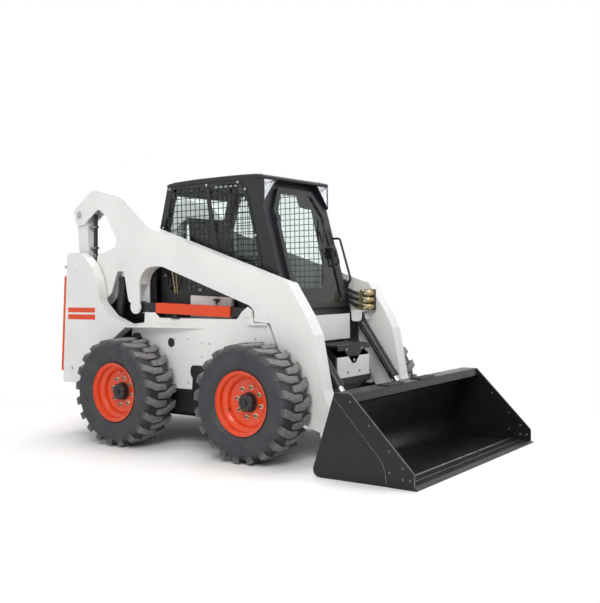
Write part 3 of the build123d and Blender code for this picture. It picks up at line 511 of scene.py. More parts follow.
# ---------------------------------------------------------------- meshes
class Form:
    """A mesh under construction, in metres of the machine's frame."""

    def __init__(self) -> None:
        """Starts empty."""
        self.points: list[tuple[float, float, float]] = []
        self.faces: list[list[int]] = []

    def add(self, points: list, faces: list) -> "Form":
        """Adds corners and faces.

        Args:
            points: corners.
            faces: faces as places in points.

        Returns:
            The form itself.
        """
        base = len(self.points)
        self.points += [tuple(point) for point in points]
        self.faces += [[base + place for place in face] for face in faces]
        return self

    def prism(self, outline: list, along: tuple) -> "Form":
        """Extrudes a flat outline along a vector.

        Args:
            outline: its corners.
            along: the vector.

        Returns:
            The form itself.
        """
        count = len(outline)
        shift = Vector(along)
        points = [Vector(point) for point in outline]
        points += [point + shift for point in points]
        ends = [list(range(count)), list(range(2 * count - 1, count - 1, -1))]
        sides = [[place, (place + 1) % count, (place + 1) % count + count, place + count]
                 for place in range(count)]
        return self.add(points, ends + sides)

    def plate(self, rows: list[tuple[float, float]], low: float, high: float) -> "Form":
        """Extrudes a side view across the machine.

        Args:
            rows: (x, z) corners in millimetres, x counted from the rear axle.
            low: y of one face, in millimetres.
            high: y of the other face.

        Returns:
            The form itself.
        """
        outline = [from_axle(x, low, z) for x, z in rows]
        return self.prism(outline, (0.0, (high - low) / 1000, 0.0))

    def hose(self, route: list[tuple], radius: float, sides: int = 12) -> "Form":
        """Runs a round bar with soft bends, in millimetres from the rear axle.

        Args:
            route: its corners as (x, y, z).
            radius: its radius.
            sides: facets round it.

        Returns:
            The form itself.
        """
        line = [from_axle(*point) for point in route]
        if len(line) > 2:
            soft = [line[0]]
            for before, point, after in zip(line, line[1:], line[2:]):
                first = point.lerp(before, min(0.4, BEND / max((point - before).length, 1e-6)))
                last = point.lerp(after, min(0.4, BEND / max((after - point).length, 1e-6)))
                for share in (0.0, 0.2, 0.4, 0.6, 0.8, 1.0):
                    soft.append(first.lerp(point, share).lerp(point.lerp(last, share), share))
            line = [*soft, line[-1]]
        return self.tube(line, radius / 1000, sides)

    def slab(self, x: tuple[float, float], z: tuple[float, float], low: float,
             high: float) -> "Form":
        """Adds a square-cornered plate.

        Args:
            x: its rear and front, in millimetres from the rear axle.
            z: its bottom and top.
            low: y of one face, in millimetres.
            high: y of the other face.

        Returns:
            The form itself.
        """
        (rear, front), (bottom, top) = x, z
        return self.plate([(rear, bottom), (front, bottom), (front, top), (rear, top)],
                          low, high)

    def lathe(self, rows: list[tuple[float, float]], centre: tuple, axis: tuple,
              steps: int = 32) -> "Form":
        """Turns a profile about an axis.

        Args:
            rows: (radius, distance along the axis) from one end of the profile to the other;
                a profile that starts or ends off the axis is joined into a closed ring.
            centre: point that distances are counted from.
            axis: direction of the axis.
            steps: facets round it.

        Returns:
            The form itself.
        """
        way = Vector(axis).normalized()
        side = way.orthogonal().normalized()
        other = way.cross(side)
        middle = Vector(centre)
        points: list[Vector] = []
        rings: list[list[int]] = []
        for radius, along in rows:
            base = middle + way * along
            if radius < 1e-6:
                rings.append([len(points)] * steps)
                points.append(base)
                continue
            rings.append(list(range(len(points), len(points) + steps)))
            for step in range(steps):
                turn = 2 * math.pi * step / steps
                points.append(base + (side * math.cos(turn) + other * math.sin(turn)) * radius)
        pairs = list(zip(rings, rings[1:]))
        if rows[0][0] > 1e-6 and rows[-1][0] > 1e-6:
            pairs.append((rings[-1], rings[0]))
        faces = []
        for first, second in pairs:
            for step in range(steps):
                after = (step + 1) % steps
                corners = [first[step], first[after], second[after], second[step]]
                unique = list(dict.fromkeys(corners))
                if len(unique) > 2:
                    faces.append(unique)
        return self.add(points, faces)

    def tube(self, path: list, radius: float, sides: int = 12) -> "Form":
        """Runs a closed round bar along a line of points.

        Args:
            path: the points.
            radius: its radius.
            sides: facets round it.

        Returns:
            The form itself.
        """
        line = [Vector(point) for point in path]
        ways = [(after - before).normalized() for before, after in zip(line, line[1:])]
        normal = ways[0].orthogonal().normalized()
        points: list[Vector] = []
        for place, point in enumerate(line):
            near = ways[max(place - 1, 0)]
            far = ways[min(place, len(ways) - 1)]
            way = (near + far).normalized()
            normal = (normal - way * normal.dot(way)).normalized()
            other = way.cross(normal)
            widen = 1.0 / max(0.5, math.cos(near.angle(far) / 2))
            for step in range(sides):
                turn = 2 * math.pi * step / sides
                points.append(point + (normal * math.cos(turn) + other * math.sin(turn))
                              * radius * widen)
        faces = []
        for place in range(len(line) - 1):
            for step in range(sides):
                after = (step + 1) % sides
                low, high = place * sides, (place + 1) * sides
                faces.append([low + step, low + after, high + after, high + step])
        count = len(points)
        ends = [list(range(sides - 1, -1, -1)), list(range(count - sides, count))]
        return self.add(points, faces + ends)

    def ring_strip(self, outline: list, inset: float, along: tuple) -> "Form":
        """Frames a flat closed outline with a strip.

        Args:
            outline: corners of the strip's outer edge.
            inset: width of the strip, measured inward.
            along: thickness vector of the strip.

        Returns:
            The form itself.
        """
        outer = [Vector(point) for point in outline]
        count = len(outer)
        flat = Vector(along).normalized()
        middle = sum(outer, Vector()) / count
        inner = []
        for place, point in enumerate(outer):
            before = (point - outer[place - 1]).normalized()
            after = (outer[(place + 1) % count] - point).normalized()
            first, second = flat.cross(before), flat.cross(after)
            if first.dot(middle - point) < 0 and second.dot(middle - point) < 0:
                first, second = -first, -second
            way = first + second
            inner.append(point + way * (inset / max(0.3, 0.5 * way.length_squared)))
        shift = Vector(along)
        points = outer + inner + [p + shift for p in outer] + [p + shift for p in inner]
        faces = []
        for place in range(count):
            after = (place + 1) % count
            for low, high in ((0, count), (count, 3 * count), (3 * count, 2 * count),
                              (2 * count, 0)):
                faces.append([low + place, low + after, high + after, high + place])
        return self.add(points, faces)

    def mesh(self, name: str) -> bpy.types.Mesh:
        """Returns the mesh with its faces turned outward."""
        mesh = bpy.data.meshes.new(name)
        mesh.from_pydata(self.points, [], self.faces)
        mesh.polygons.foreach_set("use_smooth", [True] * len(mesh.polygons))
        shape = bmesh.new()
        shape.from_mesh(mesh)
        bmesh.ops.recalc_face_normals(shape, faces=shape.faces)
        shape.to_mesh(mesh)
        shape.free()
        mesh.set_sharp_from_angle(angle=SHARP_ANGLE)
        return mesh


class Workshop:
    """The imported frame, the palette and the pieces made so far."""

    def __init__(self, frame: dict, finishes: Finishes) -> None:
        """Takes over the frame and the palette.

        Args:
            finishes: the palette.
        """
        self.frame = frame
        self.finishes = finishes
        self.count = 0

    def fit(self, name: str, form: Form | bpy.types.Mesh, finish: Finish, body: str,
            bevel: float = 0.0) -> bpy.types.Object:
        """Makes a piece and fixes it to a body.

        Args:
            name: the piece's name.
            form: its shape.
            finish: its finish.
            body: the body that it moves with.
            bevel: width of the rounding on its sharp edges, 0 for none.

        Returns:
            The new piece.
        """
        mesh = form.mesh(name) if isinstance(form, Form) else form
        mesh.name = name
        mesh.materials.clear()
        mesh.materials.append(finish.material())
        piece = bpy.data.objects.new(name, mesh)
        bpy.context.scene.collection.objects.link(piece)
        if bevel:
            rounding = piece.modifiers.new("edge", "BEVEL")
            rounding.width = bevel
            rounding.segments = 2
            rounding.limit_method = "ANGLE"
            rounding.angle_limit = BEVEL_ANGLE
        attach(piece, body)
        self.count += 1
        LOG.info("%s: %d faces on %s", name, len(mesh.polygons), body)
        return piece

    def box(self, node: str) -> tuple[Vector, Vector]:
        """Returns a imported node's lowest and highest corner."""
        low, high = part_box(node)
        return Vector(low), Vector(high)

    def recolour(self, node: str, finish: Finish,
                 chosen: Callable[[bpy.types.MeshPolygon], bool]) -> None:
        """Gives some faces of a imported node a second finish.

        Args:
            node: the node's name.
            finish: the second finish.
            chosen: tells whether a face gets it.
        """
        mesh = self.frame["nodes"][node].data
        mesh.materials.append(finish.material())
        index = len(mesh.materials) - 1
        for face in mesh.polygons:
            if chosen(face):
                face.material_index = index


@dataclass(frozen=True)
class Fastener:
    """Round-topped hexagon fasteners, repeated over given places by geometry nodes.

    Attributes:
        radius: half the width over the hexagon's corners.
        height: height of the head.
        washer: radius of the washer.
        stud: radius of the stud that stands out of it, 0 for none.
    """

    radius: float
    height: float
    washer: float
    stud: float = 0.0

    def tree(self) -> bpy.types.NodeTree:
        """Returns the node group that sets a fastener on each point of a mesh."""
        tree = bpy.data.node_groups.new("fasteners", "GeometryNodeTree")
        sockets = tree.interface
        sockets.new_socket("Places", in_out="INPUT", socket_type="NodeSocketGeometry")
        for label in ("Head radius", "Head height", "Washer radius", "Stud radius"):
            sockets.new_socket(label, in_out="INPUT", socket_type="NodeSocketFloat")
        sockets.new_socket("Finish", in_out="INPUT", socket_type="NodeSocketMaterial")
        sockets.new_socket("Fasteners", in_out="OUTPUT", socket_type="NodeSocketGeometry")
        graph = Graph(tree)
        given = graph.add("NodeGroupInput").outputs
        head = self.drum(graph, 6, given["Head radius"], given["Head height"])
        washer = self.drum(graph, 20, given["Washer radius"],
                           graph.math("MULTIPLY", given["Head height"], 0.22))
        stud = self.drum(graph, 12, given["Stud radius"],
                         graph.math("MULTIPLY", given["Head height"], 1.45))
        whole = graph.add("GeometryNodeJoinGeometry")
        for part in (head, washer, stud):
            tree.links.new(part, whole.inputs[0])
        facing = graph.add("GeometryNodeInputNamedAttribute", {"Name": "facing"},
                           data_type="FLOAT_VECTOR").outputs["Attribute"]
        turn = graph.add("FunctionNodeAlignRotationToVector", {"Vector": facing}, axis="Z")
        placed = graph.add("GeometryNodeInstanceOnPoints", {
            "Points": given["Places"], "Instance": whole.outputs[0],
            "Rotation": turn.outputs[0]})
        real = graph.add("GeometryNodeRealizeInstances", {0: placed.outputs[0]})
        dressed = graph.add("GeometryNodeSetMaterial", {"Geometry": real.outputs[0],
                                                        "Material": given["Finish"]})
        graph.add("NodeGroupOutput", {0: dressed.outputs[0]})
        return tree

    def drum(self, graph: Graph, sides: int, radius: object,
             height: object) -> bpy.types.NodeSocket:
        """Returns a many-sided drum that stands on the point's surface."""
        drum = graph.add("GeometryNodeMeshCylinder", {"Vertices": sides, "Radius": radius,
                                                      "Depth": height})
        lift = graph.add("ShaderNodeCombineXYZ", {"Z": graph.math("MULTIPLY", height, 0.5)})
        return graph.add("GeometryNodeTransform", {
            "Geometry": drum.outputs["Mesh"], "Translation": lift.outputs[0]}).outputs[0]

    def fit(self, shop: Workshop, name: str, places: list[tuple], finish: Finish,
            body: str) -> bpy.types.Object:
        """Sets the fasteners.

        Args:
            shop: the workshop.
            name: the piece's name.
            places: (point, outward direction) of each fastener.
            finish: their finish.
            body: the body they are on.

        Returns:
            The plain mesh of all of them.
        """
        seed = bpy.data.meshes.new(f"{name}_places")
        seed.from_pydata([tuple(point) for point, _ in places], [], [])
        facing = seed.attributes.new("facing", "FLOAT_VECTOR", "POINT")
        for item, (_, way) in zip(facing.data, places):
            item.vector = Vector(way).normalized()
        carrier = bpy.data.objects.new(f"{name}_places", seed)
        bpy.context.scene.collection.objects.link(carrier)
        modifier = carrier.modifiers.new("fasteners", "NODES")
        modifier.node_group = self.tree()
        values = {"Head radius": self.radius, "Head height": self.height,
                  "Washer radius": self.washer, "Stud radius": max(self.stud, 1e-5),
                  "Finish": finish.material()}
        for item in modifier.node_group.interface.items_tree:
            if item.in_out == "INPUT" and item.name in values:
                modifier[item.identifier] = values[item.name]
        ready = carrier.evaluated_get(bpy.context.evaluated_depsgraph_get())
        mesh = bpy.data.meshes.new_from_object(ready)
        carrier.modifiers.remove(modifier)
        bpy.data.objects.remove(carrier)
        return shop.fit(name, mesh, finish, body)


# ---------------------------------------------------------------- wheels
@dataclass(frozen=True)
class Wheel:
    """One lugged tyre on its stepped rim.

    Attributes:
        name: which wheel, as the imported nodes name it.
        valve: place of the valve round the rim, in degrees from the front upward.
        lugs: lugs on each side of the tread.
        half_width: half the tyre's width.
        tread_radius: radius over the lugs.
        ground_radius: radius between the lugs.
        nuts: wheel nuts.
        nut_circle: radius of the circle they are on.
        first_nut: angle of the first nut, in degrees from the front upward.
        bolt_circle: radius of the circle of the drum's bolts.
        worn_from: radius at which the lugs start to be worn pale.
        worn_over: height over which they turn fully pale.
    """

    name: str
    valve: float
    lugs: int = 20
    half_width: float = 0.150
    tread_radius: float = 0.4175
    ground_radius: float = 0.396
    nuts: int = 8
    nut_circle: float = 0.1070
    first_nut: float = 33.0
    bolt_circle: float = 0.0445
    worn_from: float = 0.400
    worn_over: float = 0.009

    @property
    def body(self) -> str:
        """Name of the body that the wheel turns with."""
        return f"{self.name}_wheel"

    def centre(self, shop: Workshop) -> Vector:
        """Returns the middle of the wheel."""
        low, high = shop.box(f"tyre_{self.name}")
        return (low + high) / 2

    def outward(self, shop: Workshop) -> Vector:
        """Returns the direction away from the machine."""
        return Vector((0.0, math.copysign(1.0, self.centre(shop).y), 0.0))

    def carcass(self) -> list[tuple[float, float]]:
        """Returns the tyre's profile as (radius, distance outward), bead to bead."""
        outer = [(0.209, 0.1158), (0.231, 0.1165), (0.240, 0.126), (0.252, 0.1335),
                 (0.257, 0.1375), (0.262, 0.1375), (0.265, 0.1405), (0.271, 0.1425),
                 (0.274, 0.1415), (0.290, 0.1465), (0.312, 0.1485), (0.332, 0.1475),
                 (0.338, 0.1475), (0.346, 0.1460), (0.350, 0.1480), (0.356, 0.1480),
                 (0.360, 0.1455), (0.374, 0.1400), (0.386, 0.1270), (0.393, 0.1050),
                 (self.ground_radius, 0.060)]
        inner = [(radius, -along) for radius, along in reversed(outer)]
        return outer + [(self.ground_radius + 0.001, 0.0)] + inner

    def lug_outline(self, grow: float) -> list[tuple[float, float]]:
        """Returns a hook-shaped lug's corners as (outward, length along the tread)."""
        half = self.half_width - 0.003 - max(0.0, -grow) * 0.5
        pitch = 2 * math.pi * self.tread_radius / self.lugs
        return [(half, 0.47 * pitch + grow), (half, 0.04 * pitch - grow),
                (0.62 * half, -0.14 * pitch - grow),
                (0.38 * half, -0.27 * pitch - grow), (0.02 * half, -0.27 * pitch - grow),
                (-0.24 * half - grow, -0.25 * pitch - grow),
                (-0.25 * half - grow, 0.06 * pitch + grow),
                (0.02 * half, 0.10 * pitch + grow), (0.30 * half, 0.11 * pitch + grow),
                (0.66 * half, 0.30 * pitch + grow)]

    def lug(self, form: Form, centre: Vector, side: int, turn: float) -> None:
        """Adds one lug.

        Args:
            form: the tyre under construction.
            centre: middle of the wheel.
            side: 1 for the outer row of lugs, -1 for the inner one, both seen outward.
            turn: angle of the lug's middle.
        """
        rings = []
        for grow, drop in ((0.004, None), (0.0015, 0.006), (0.0, 0.0015), (-0.003, 0.0)):
            ring = []
            for across, along in self.lug_outline(grow):
                away = max(0.0, abs(across) / self.half_width - 0.3) / 0.7
                top = self.tread_radius - 0.008 * away
                if drop is None:
                    radius = 0.360 if across > 0.9 * self.half_width else (
                        self.ground_radius - 0.010 - 0.014 * away)
                else:
                    radius = top - drop
                angle = turn + along / self.tread_radius
                ring.append((centre.x + radius * math.cos(angle),
                             centre.y + side * across,
                             centre.z + radius * math.sin(angle)))
            rings.append(ring)
        count = len(rings[0])
        points = [point for ring in rings for point in ring]
        faces = [list(range(count)), list(range(3 * count, 4 * count))]
        for level in range(3):
            for place in range(count):
                after = (place + 1) % count
                faces.append([level * count + place, level * count + after,
                              (level + 1) * count + after, (level + 1) * count + place])
        form.add(points, faces)

    def tyre(self, shop: Workshop) -> None:
        """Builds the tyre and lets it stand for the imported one."""
        centre, way = self.centre(shop), self.outward(shop)
        form = Form().lathe(self.carcass(), centre, way, 80)
        pitch = 2 * math.pi / self.lugs
        sense = 1 if way.y > 0 else -1
        for place in range(self.lugs):
            self.lug(form, centre, 1, pitch * place * sense)
            self.lug(form, centre, -1, pitch * (place + 0.5) * sense)
        mesh = form.mesh(f"tyre_{self.name}_tread")
        wear = mesh.attributes.new("wear", "FLOAT", "POINT")
        for vertex, item in zip(mesh.vertices, wear.data):
            radius = math.hypot(vertex.co.x - centre.x, vertex.co.z - centre.z)
            item.value = min(1.0, max(0.0, (radius - self.worn_from) / self.worn_over))
        piece = shop.fit(f"tyre_{self.name}_tread", mesh, shop.finishes.tread, self.body)
        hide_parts(f"tyre_{self.name}")

    def rim(self, shop: Workshop) -> None:
        """Builds the stepped rim, its disc and the hub drum."""
        centre, way = self.centre(shop), self.outward(shop)
        barrel = [(0.228, 0.1265), (0.2265, 0.128), (0.2235, 0.1265), (0.222, 0.118),
                  (0.211, 0.112), (0.2035, 0.107), (0.2025, 0.086), (0.199, 0.0775),
                  (0.172, 0.0625), (0.169, 0.058), (0.169, -0.002), (0.196, -0.017),
                  (0.200, -0.040), (0.203, -0.128), (0.228, -0.128), (0.228, -0.116),
                  (0.209, -0.116), (0.209, -0.040), (0.205, -0.010), (0.178, 0.005),
                  (0.178, 0.055), (0.2085, 0.070), (0.2085, 0.116), (0.226, 0.118)]
        disc = [(0.0, 0.024), (0.130, 0.024), (0.136, 0.0255), (0.150, 0.035), (0.156, 0.036),
                (0.170, 0.034), (0.170, 0.018), (0.146, 0.020), (0.130, 0.010), (0.0, 0.010)]
        form = Form().lathe(barrel, centre, way, 72).lathe(disc, centre, way, 72)
        piece = shop.fit(f"rim_{self.name}_steps", form, shop.finishes.orange, self.body)
        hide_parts(f"rim_{self.name}")
        drum = [(0.0, 0.087), (0.014, 0.087), (0.017, 0.085), (0.018, 0.077), (0.050, 0.0765),
                (0.058, 0.074), (0.062, 0.069), (0.0625, 0.030), (0.070, 0.027),
                (0.072, 0.0235), (0.0, 0.0235)]
        shaft = [(0.0, 0.011), (0.092, 0.010), (0.092, -0.028), (0.060, -0.045),
                 (0.060, -0.105), (0.0, -0.105)]
        hub = Form().lathe(drum, centre, way, 40).lathe(shaft, centre, way, 40)
        shop.fit(f"hub_{self.name}", hub, shop.finishes.black, self.body)

    def fasteners(self, shop: Workshop) -> None:
        """Sets the wheel nuts, the drum's bolts and the valve."""
        centre, way = self.centre(shop), self.outward(shop)
        nuts, bolts = [], []
        for place in range(self.nuts):
            angle = math.radians(self.first_nut + 360 * place / self.nuts)
            spoke = Vector((math.cos(angle), 0.0, math.sin(angle)))
            nuts.append((centre + spoke * self.nut_circle + way * 0.0238, way))
            bolts.append((centre + spoke * self.bolt_circle + way * 0.0755, way))
        studs = [(point + way * 0.010, way) for point, _ in nuts]
        for name, fastener, places, finish in (
                ("nuts", Fastener(0.0135, 0.012, 0.0170), nuts, shop.finishes.brass),
                ("studs", Fastener(0.0085, 0.010, 0.0085), studs, shop.finishes.bolt),
                ("drum_bolts", Fastener(0.0062, 0.005, 0.0078), bolts, shop.finishes.bolt)):
            fastener.fit(shop, f"{name}_{self.name}", places, finish, self.body)
        angle = math.radians(self.valve)
        spoke = Vector((math.cos(angle), 0.0, math.sin(angle)))
        foot = centre + spoke * 0.170 + way * 0.048
        form = Form().tube([foot, foot - spoke * 0.010 + way * 0.012,
                            foot - spoke * 0.012 + way * 0.040], 0.0045, 10)
        shop.fit(f"valve_{self.name}", form, shop.finishes.zinc, self.body)

    def build(self, shop: Workshop) -> None:
        """Builds the whole wheel."""
        self.tyre(shop)
        self.rim(shop)
        self.fasteners(shop)


# ---------------------------------------------------------------- towers, arms and links
@dataclass(frozen=True)
class SideTrim:
    """Stripes, bolts and marks on the towers, arms and links.

    Attributes:
        tower_face: y of the towers' outer faces.
        stripe: thickness of the stripes' film.
        stripes: height of each stripe, as (bottom, top).
        stripe_reach: their rear and front end, as distances from the rear axle.
        arm_face: y of the arms' outer faces.
        pin_head: y of the seats of their rear pins' caps.
    """

    tower_face: float = 700.0
    stripe: float = 0.8
    stripes: tuple = ((1024.0, 1064.0), (966.0, 1008.0))
    stripe_reach: tuple = (-743.0, -410.0)
    arm_face: float = 600.0
    pin_head: float = 606.5

    def stripe_films(self, shop: Workshop) -> None:
        """Lays the coloured stripes on both towers."""
        form = Form()
        rear, front = self.stripe_reach
        for side in Side:
            face = side.value * self.tower_face
            for bottom, top in self.stripes:
                form.slab((rear, front), (bottom, top),
                          face - side.value * 0.2, face + side.value * self.stripe)
        shop.fit("tower_stripes", form, shop.finishes.orange, "chassis")

    def arm_bolts(self, shop: Workshop) -> None:
        """Sets the bolts and plugs of the arms' outer faces."""
        small = [(-48, 1078), (4, 1064), (-110, 1120), (-172, 1461), (-514, 1925),
                 (-354, 1938), (-67, 1822), (-195, 1770), (1190, 1010), (1300, 1010)]
        places = [(side.at(x, self.arm_face, z), side.out) for side in Side for x, z in small]
        Fastener(0.0085, 0.004, 0.0105).fit(
            shop, "arm_bolts", places, shop.finishes.white, "lift_arms")
        bolts = [(-760, 1404), (-700, 560), (-520, 560)]
        places = [(side.at(x, self.tower_face, z), side.out) for side in Side for x, z in bolts]
        Fastener(0.010, 0.007, 0.014).fit(
            shop, "tower_bolts", places, shop.finishes.silver, "chassis")

    def pin_caps(self, shop: Workshop) -> None:
        """Covers the heads of the arms' rear pins with turned caps."""
        form = Form()
        rows = [(0.0, 0.0072), (0.011, 0.0072), (0.013, 0.0055), (0.026, 0.0055),
                (0.029, 0.004), (0.030, 0.0), (0.0, 0.0)]
        for side in Side:
            form.lathe(rows, side.at(-689, self.pin_head, 1841), side.out, 32)
        shop.fit("pin_caps_lift_arms", form, shop.finishes.silver, "lift_arms")

    def build(self, shop: Workshop) -> None:
        """Builds the trim of both sides."""
        self.stripe_films(shop)
        self.arm_bolts(shop)
        self.pin_caps(shop)


@dataclass(frozen=True)
class ArmSupport:
    """Flange and stop of the stowed arm support, over its packed channel.

    Attributes:
        lug: (x, z) of the control link's pin in the arm.
        frame: (x, z) of its pin on the frame.
        link_face: y of the link's outer side.
    """

    lug: tuple = (-45.0, 1070.0)
    frame: tuple = (1104.0, 1031.0)
    link_face: float = 580.0

    def rows(self, corners: list) -> list[tuple[float, float]]:
        """Returns side-view points for (distance from the arm's pin, offset) corners."""
        return [beside(self.lug, self.frame, *corner) for corner in corners]

    def build(self, shop: Workshop) -> None:
        """Builds the top flange and the black stop."""
        flange = Form().plate(self.rows([(218, 36.5), (218, 40.5), (972, 40.5), (972, 36.5)]),
                              -(self.link_face + 5), -(self.link_face - 66))
        shop.fit("support_flange", flange, shop.finishes.orange, "control_links", 0.0015)
        stop = Form()
        for rear, front, low, high in ((420, 450, -60, -41), (392, 478, -76, -59)):
            stop.plate(self.rows([(rear, low), (rear, high), (front, high), (front, low)]),
                       -(self.link_face + 21), -(self.link_face + 8))
        shop.fit("support_stop", stop, shop.finishes.black, "control_links", 0.002)


# ---------------------------------------------------------------- hydraulics
@dataclass(frozen=True)
class Hydraulics:
    """Hoses, pipes and couplings on the arms, the links and the cylinders.

    Attributes:
        link_middle: y of the links' and the lift cylinders' middle plane.
        arm_inner: y of the arms' inner faces.
        tilt_plane: y of the tilt cylinders.
        tilt_base: (x, z) of their upper pins.
        tilt_eye: (x, z) of their lower pins.
        lift_base: (x, z) of the lift cylinders' lower pins.
        lift_eye: (x, z) of their upper pins.
    """

    link_middle: float = 541.0
    arm_inner: float = 482.0
    tilt_plane: float = 390.0
    tilt_base: tuple = (1445.0, 968.0)
    tilt_eye: tuple = (1838.0, 400.0)
    lift_base: tuple = (-380.0, 480.0)
    lift_eye: tuple = (-205.0, 1440.0)

    def link_hoses(self, shop: Workshop) -> None:
        """Runs the sleeved hoses up the front of both rear links."""
        sleeve, hose, metal = Form(), Form(), Form()
        for side in Side:
            y = side.value * self.link_middle
            sleeve.hose([(-560, y, 1842), (-563, y, 1765), (-566, y, 1640), (-570, y, 1500)],
                        17, 14)
            for shift in (-13, 13):
                hose.hose([(-566, y + shift, 1506), (-572, y + shift, 1440),
                           (-588, y + shift, 1370)], 9, 10)
                metal.hose([(-567, y + shift, 1512), (-569, y + shift, 1474)], 13, 6)
            for z in (1560, 1735):
                metal.slab((-618, -548), (z - 9, z + 9), y - 20, y + 20)
        shop.fit("link_sleeves", sleeve, shop.finishes.hose, "rear_links")
        shop.fit("link_hoses", hose, shop.finishes.hose, "rear_links")
        shop.fit("link_hose_clamps", metal, shop.finishes.steel, "rear_links", 0.001)

    def pipes(self, shop: Workshop, kind: str, base: tuple, eye: tuple, plane: float,
              corners: tuple, glands: tuple) -> None:
        """Lays the pipe and turns the glands of both cylinders of one kind.

        Args:
            shop: the workshop.
            kind: what the cylinders do, as their nodes name it.
            base: (x, z) of their base pins.
            eye: (x, z) of their rod ends' pins.
            plane: y of their middle plane.
            corners: (distance from the base, offset, y) of the pipe's corners.
            glands: (start, reach, radius) of each gland, in metres.
        """
        pipe, gland = Form(), Form()
        length = math.dist(base, eye)
        way = Vector(((eye[0] - base[0]) / length, 0.0, (eye[1] - base[1]) / length))
        for side in Side:
            run = []
            for distance, offset, y in corners:
                x, z = beside(base, eye, distance, offset)
                run.append((x, side.value * y, z))
            pipe.hose(run, 6, 10)
            for start, reach, radius in glands:
                end = start + reach
                gland.lathe([(0.0, start), (radius - 0.002, start), (radius, start + 0.002),
                             (radius, end - 0.002), (radius - 0.002, end), (0.0, end)],
                            side.at(base[0], plane, base[1]), way, 32)
        shop.fit(f"{kind}_pipes", pipe, shop.finishes.black, f"{kind}_barrels")
        shop.fit(f"{kind}_glands", gland, shop.finishes.black, f"{kind}_barrels")

    def couplings(self, shop: Workshop) -> None:
        """Dresses the coupler block with couplings, caps and hoses."""
        block, body, cap, hose, nut = Form(), Form(), Form(), Form(), Form()
        inner, inward = self.arm_inner, Side.RIGHT.out
        block.slab((1448, 1548), (1022, 1188), inner - 36, inner - 1)
        block.slab((1186, 1206), (1116, 1238), inner - 40, inner - 1)
        rows = [(0.0, 0.0), (0.0275, 0.0), (0.0275, 0.012), (0.020, 0.014), (0.020, 0.021),
                (0.0265, 0.024), (0.0265, 0.050), (0.021, 0.053), (0.021, 0.062), (0.0, 0.062)]
        lid = [(0.0, 0.0), (0.022, 0.0), (0.024, 0.003), (0.024, 0.016), (0.012, 0.020),
               (0.012, 0.008), (0.0, 0.008)]
        for z, reach in ((1050, 8), (1105, 20), (1160, 8)):
            for x, longer in ((1466, 0), (1522, reach)):
                stretched = [(radius, along + (longer / 1000 if along > 0.02 else 0))
                             for radius, along in rows]
                body.lathe(stretched, from_axle(x, inner - 36, z), inward, 24)
                if longer:
                    cap.lathe(lid, from_axle(x, inner - 96 - longer, z), inward, 24)
        for z, rise in ((1055, 1120), (1105, 1160), (1155, 1200)):
            y = inner - 21
            hose.hose([(1448, y, z), (1400, y, z), (1340, y, z + (rise - z) * 0.35),
                       (1290, y, rise - 4), (1206, y, rise + 14)], 12, 12)
            nut.hose([(1412, y, z), (1450, y, z)], 17, 6)
        shop.fit("coupling_block", block, shop.finishes.black, "lift_arms", 0.002)
        shop.fit("coupling_bodies", body, shop.finishes.zinc, "lift_arms")
        shop.fit("coupling_collars", cap, shop.finishes.brass, "lift_arms")
        swivel = Form()
        for x, z, radius in ((1255, 1232, 0.040), (1290, 1130, 0.024)):
            swivel.lathe([(0.0, 0.0), (radius, 0.0), (radius, 0.018), (radius - 0.006, 0.024),
                          (0.0, 0.026)], from_axle(x, inner - 1, z), inward, 32)
        shop.fit("hose_swivels", swivel, shop.finishes.hose, "lift_arms")
        shop.fit("coupling_hoses", hose, shop.finishes.hose, "lift_arms")
        piece = shop.fit("coupling_nuts", nut, shop.finishes.zinc, "lift_arms")
        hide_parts("hydraulic_couplers")

    def build(self, shop: Workshop) -> None:
        """Builds every hydraulic fitting."""
        self.link_hoses(shop)
        tilt, lift = self.tilt_plane, self.link_middle
        self.pipes(shop, "tilt", self.tilt_base, self.tilt_eye, tilt,
                   ((86, 0, tilt - 32), (92, 0, tilt - 42), (505, 0, tilt - 42),
                    (512, 0, tilt - 32)),
                   ((0.516, 0.036, 0.040), (0.088, 0.012, 0.0385), (0.300, 0.010, 0.0385)))
        self.pipes(shop, "lift", self.lift_base, self.lift_eye, lift,
                   ((322, 36, lift), (336, 47, lift), (780, 47, lift), (792, 36, lift)),
                   ((0.808, 0.036, 0.042),))
        self.couplings(shop)


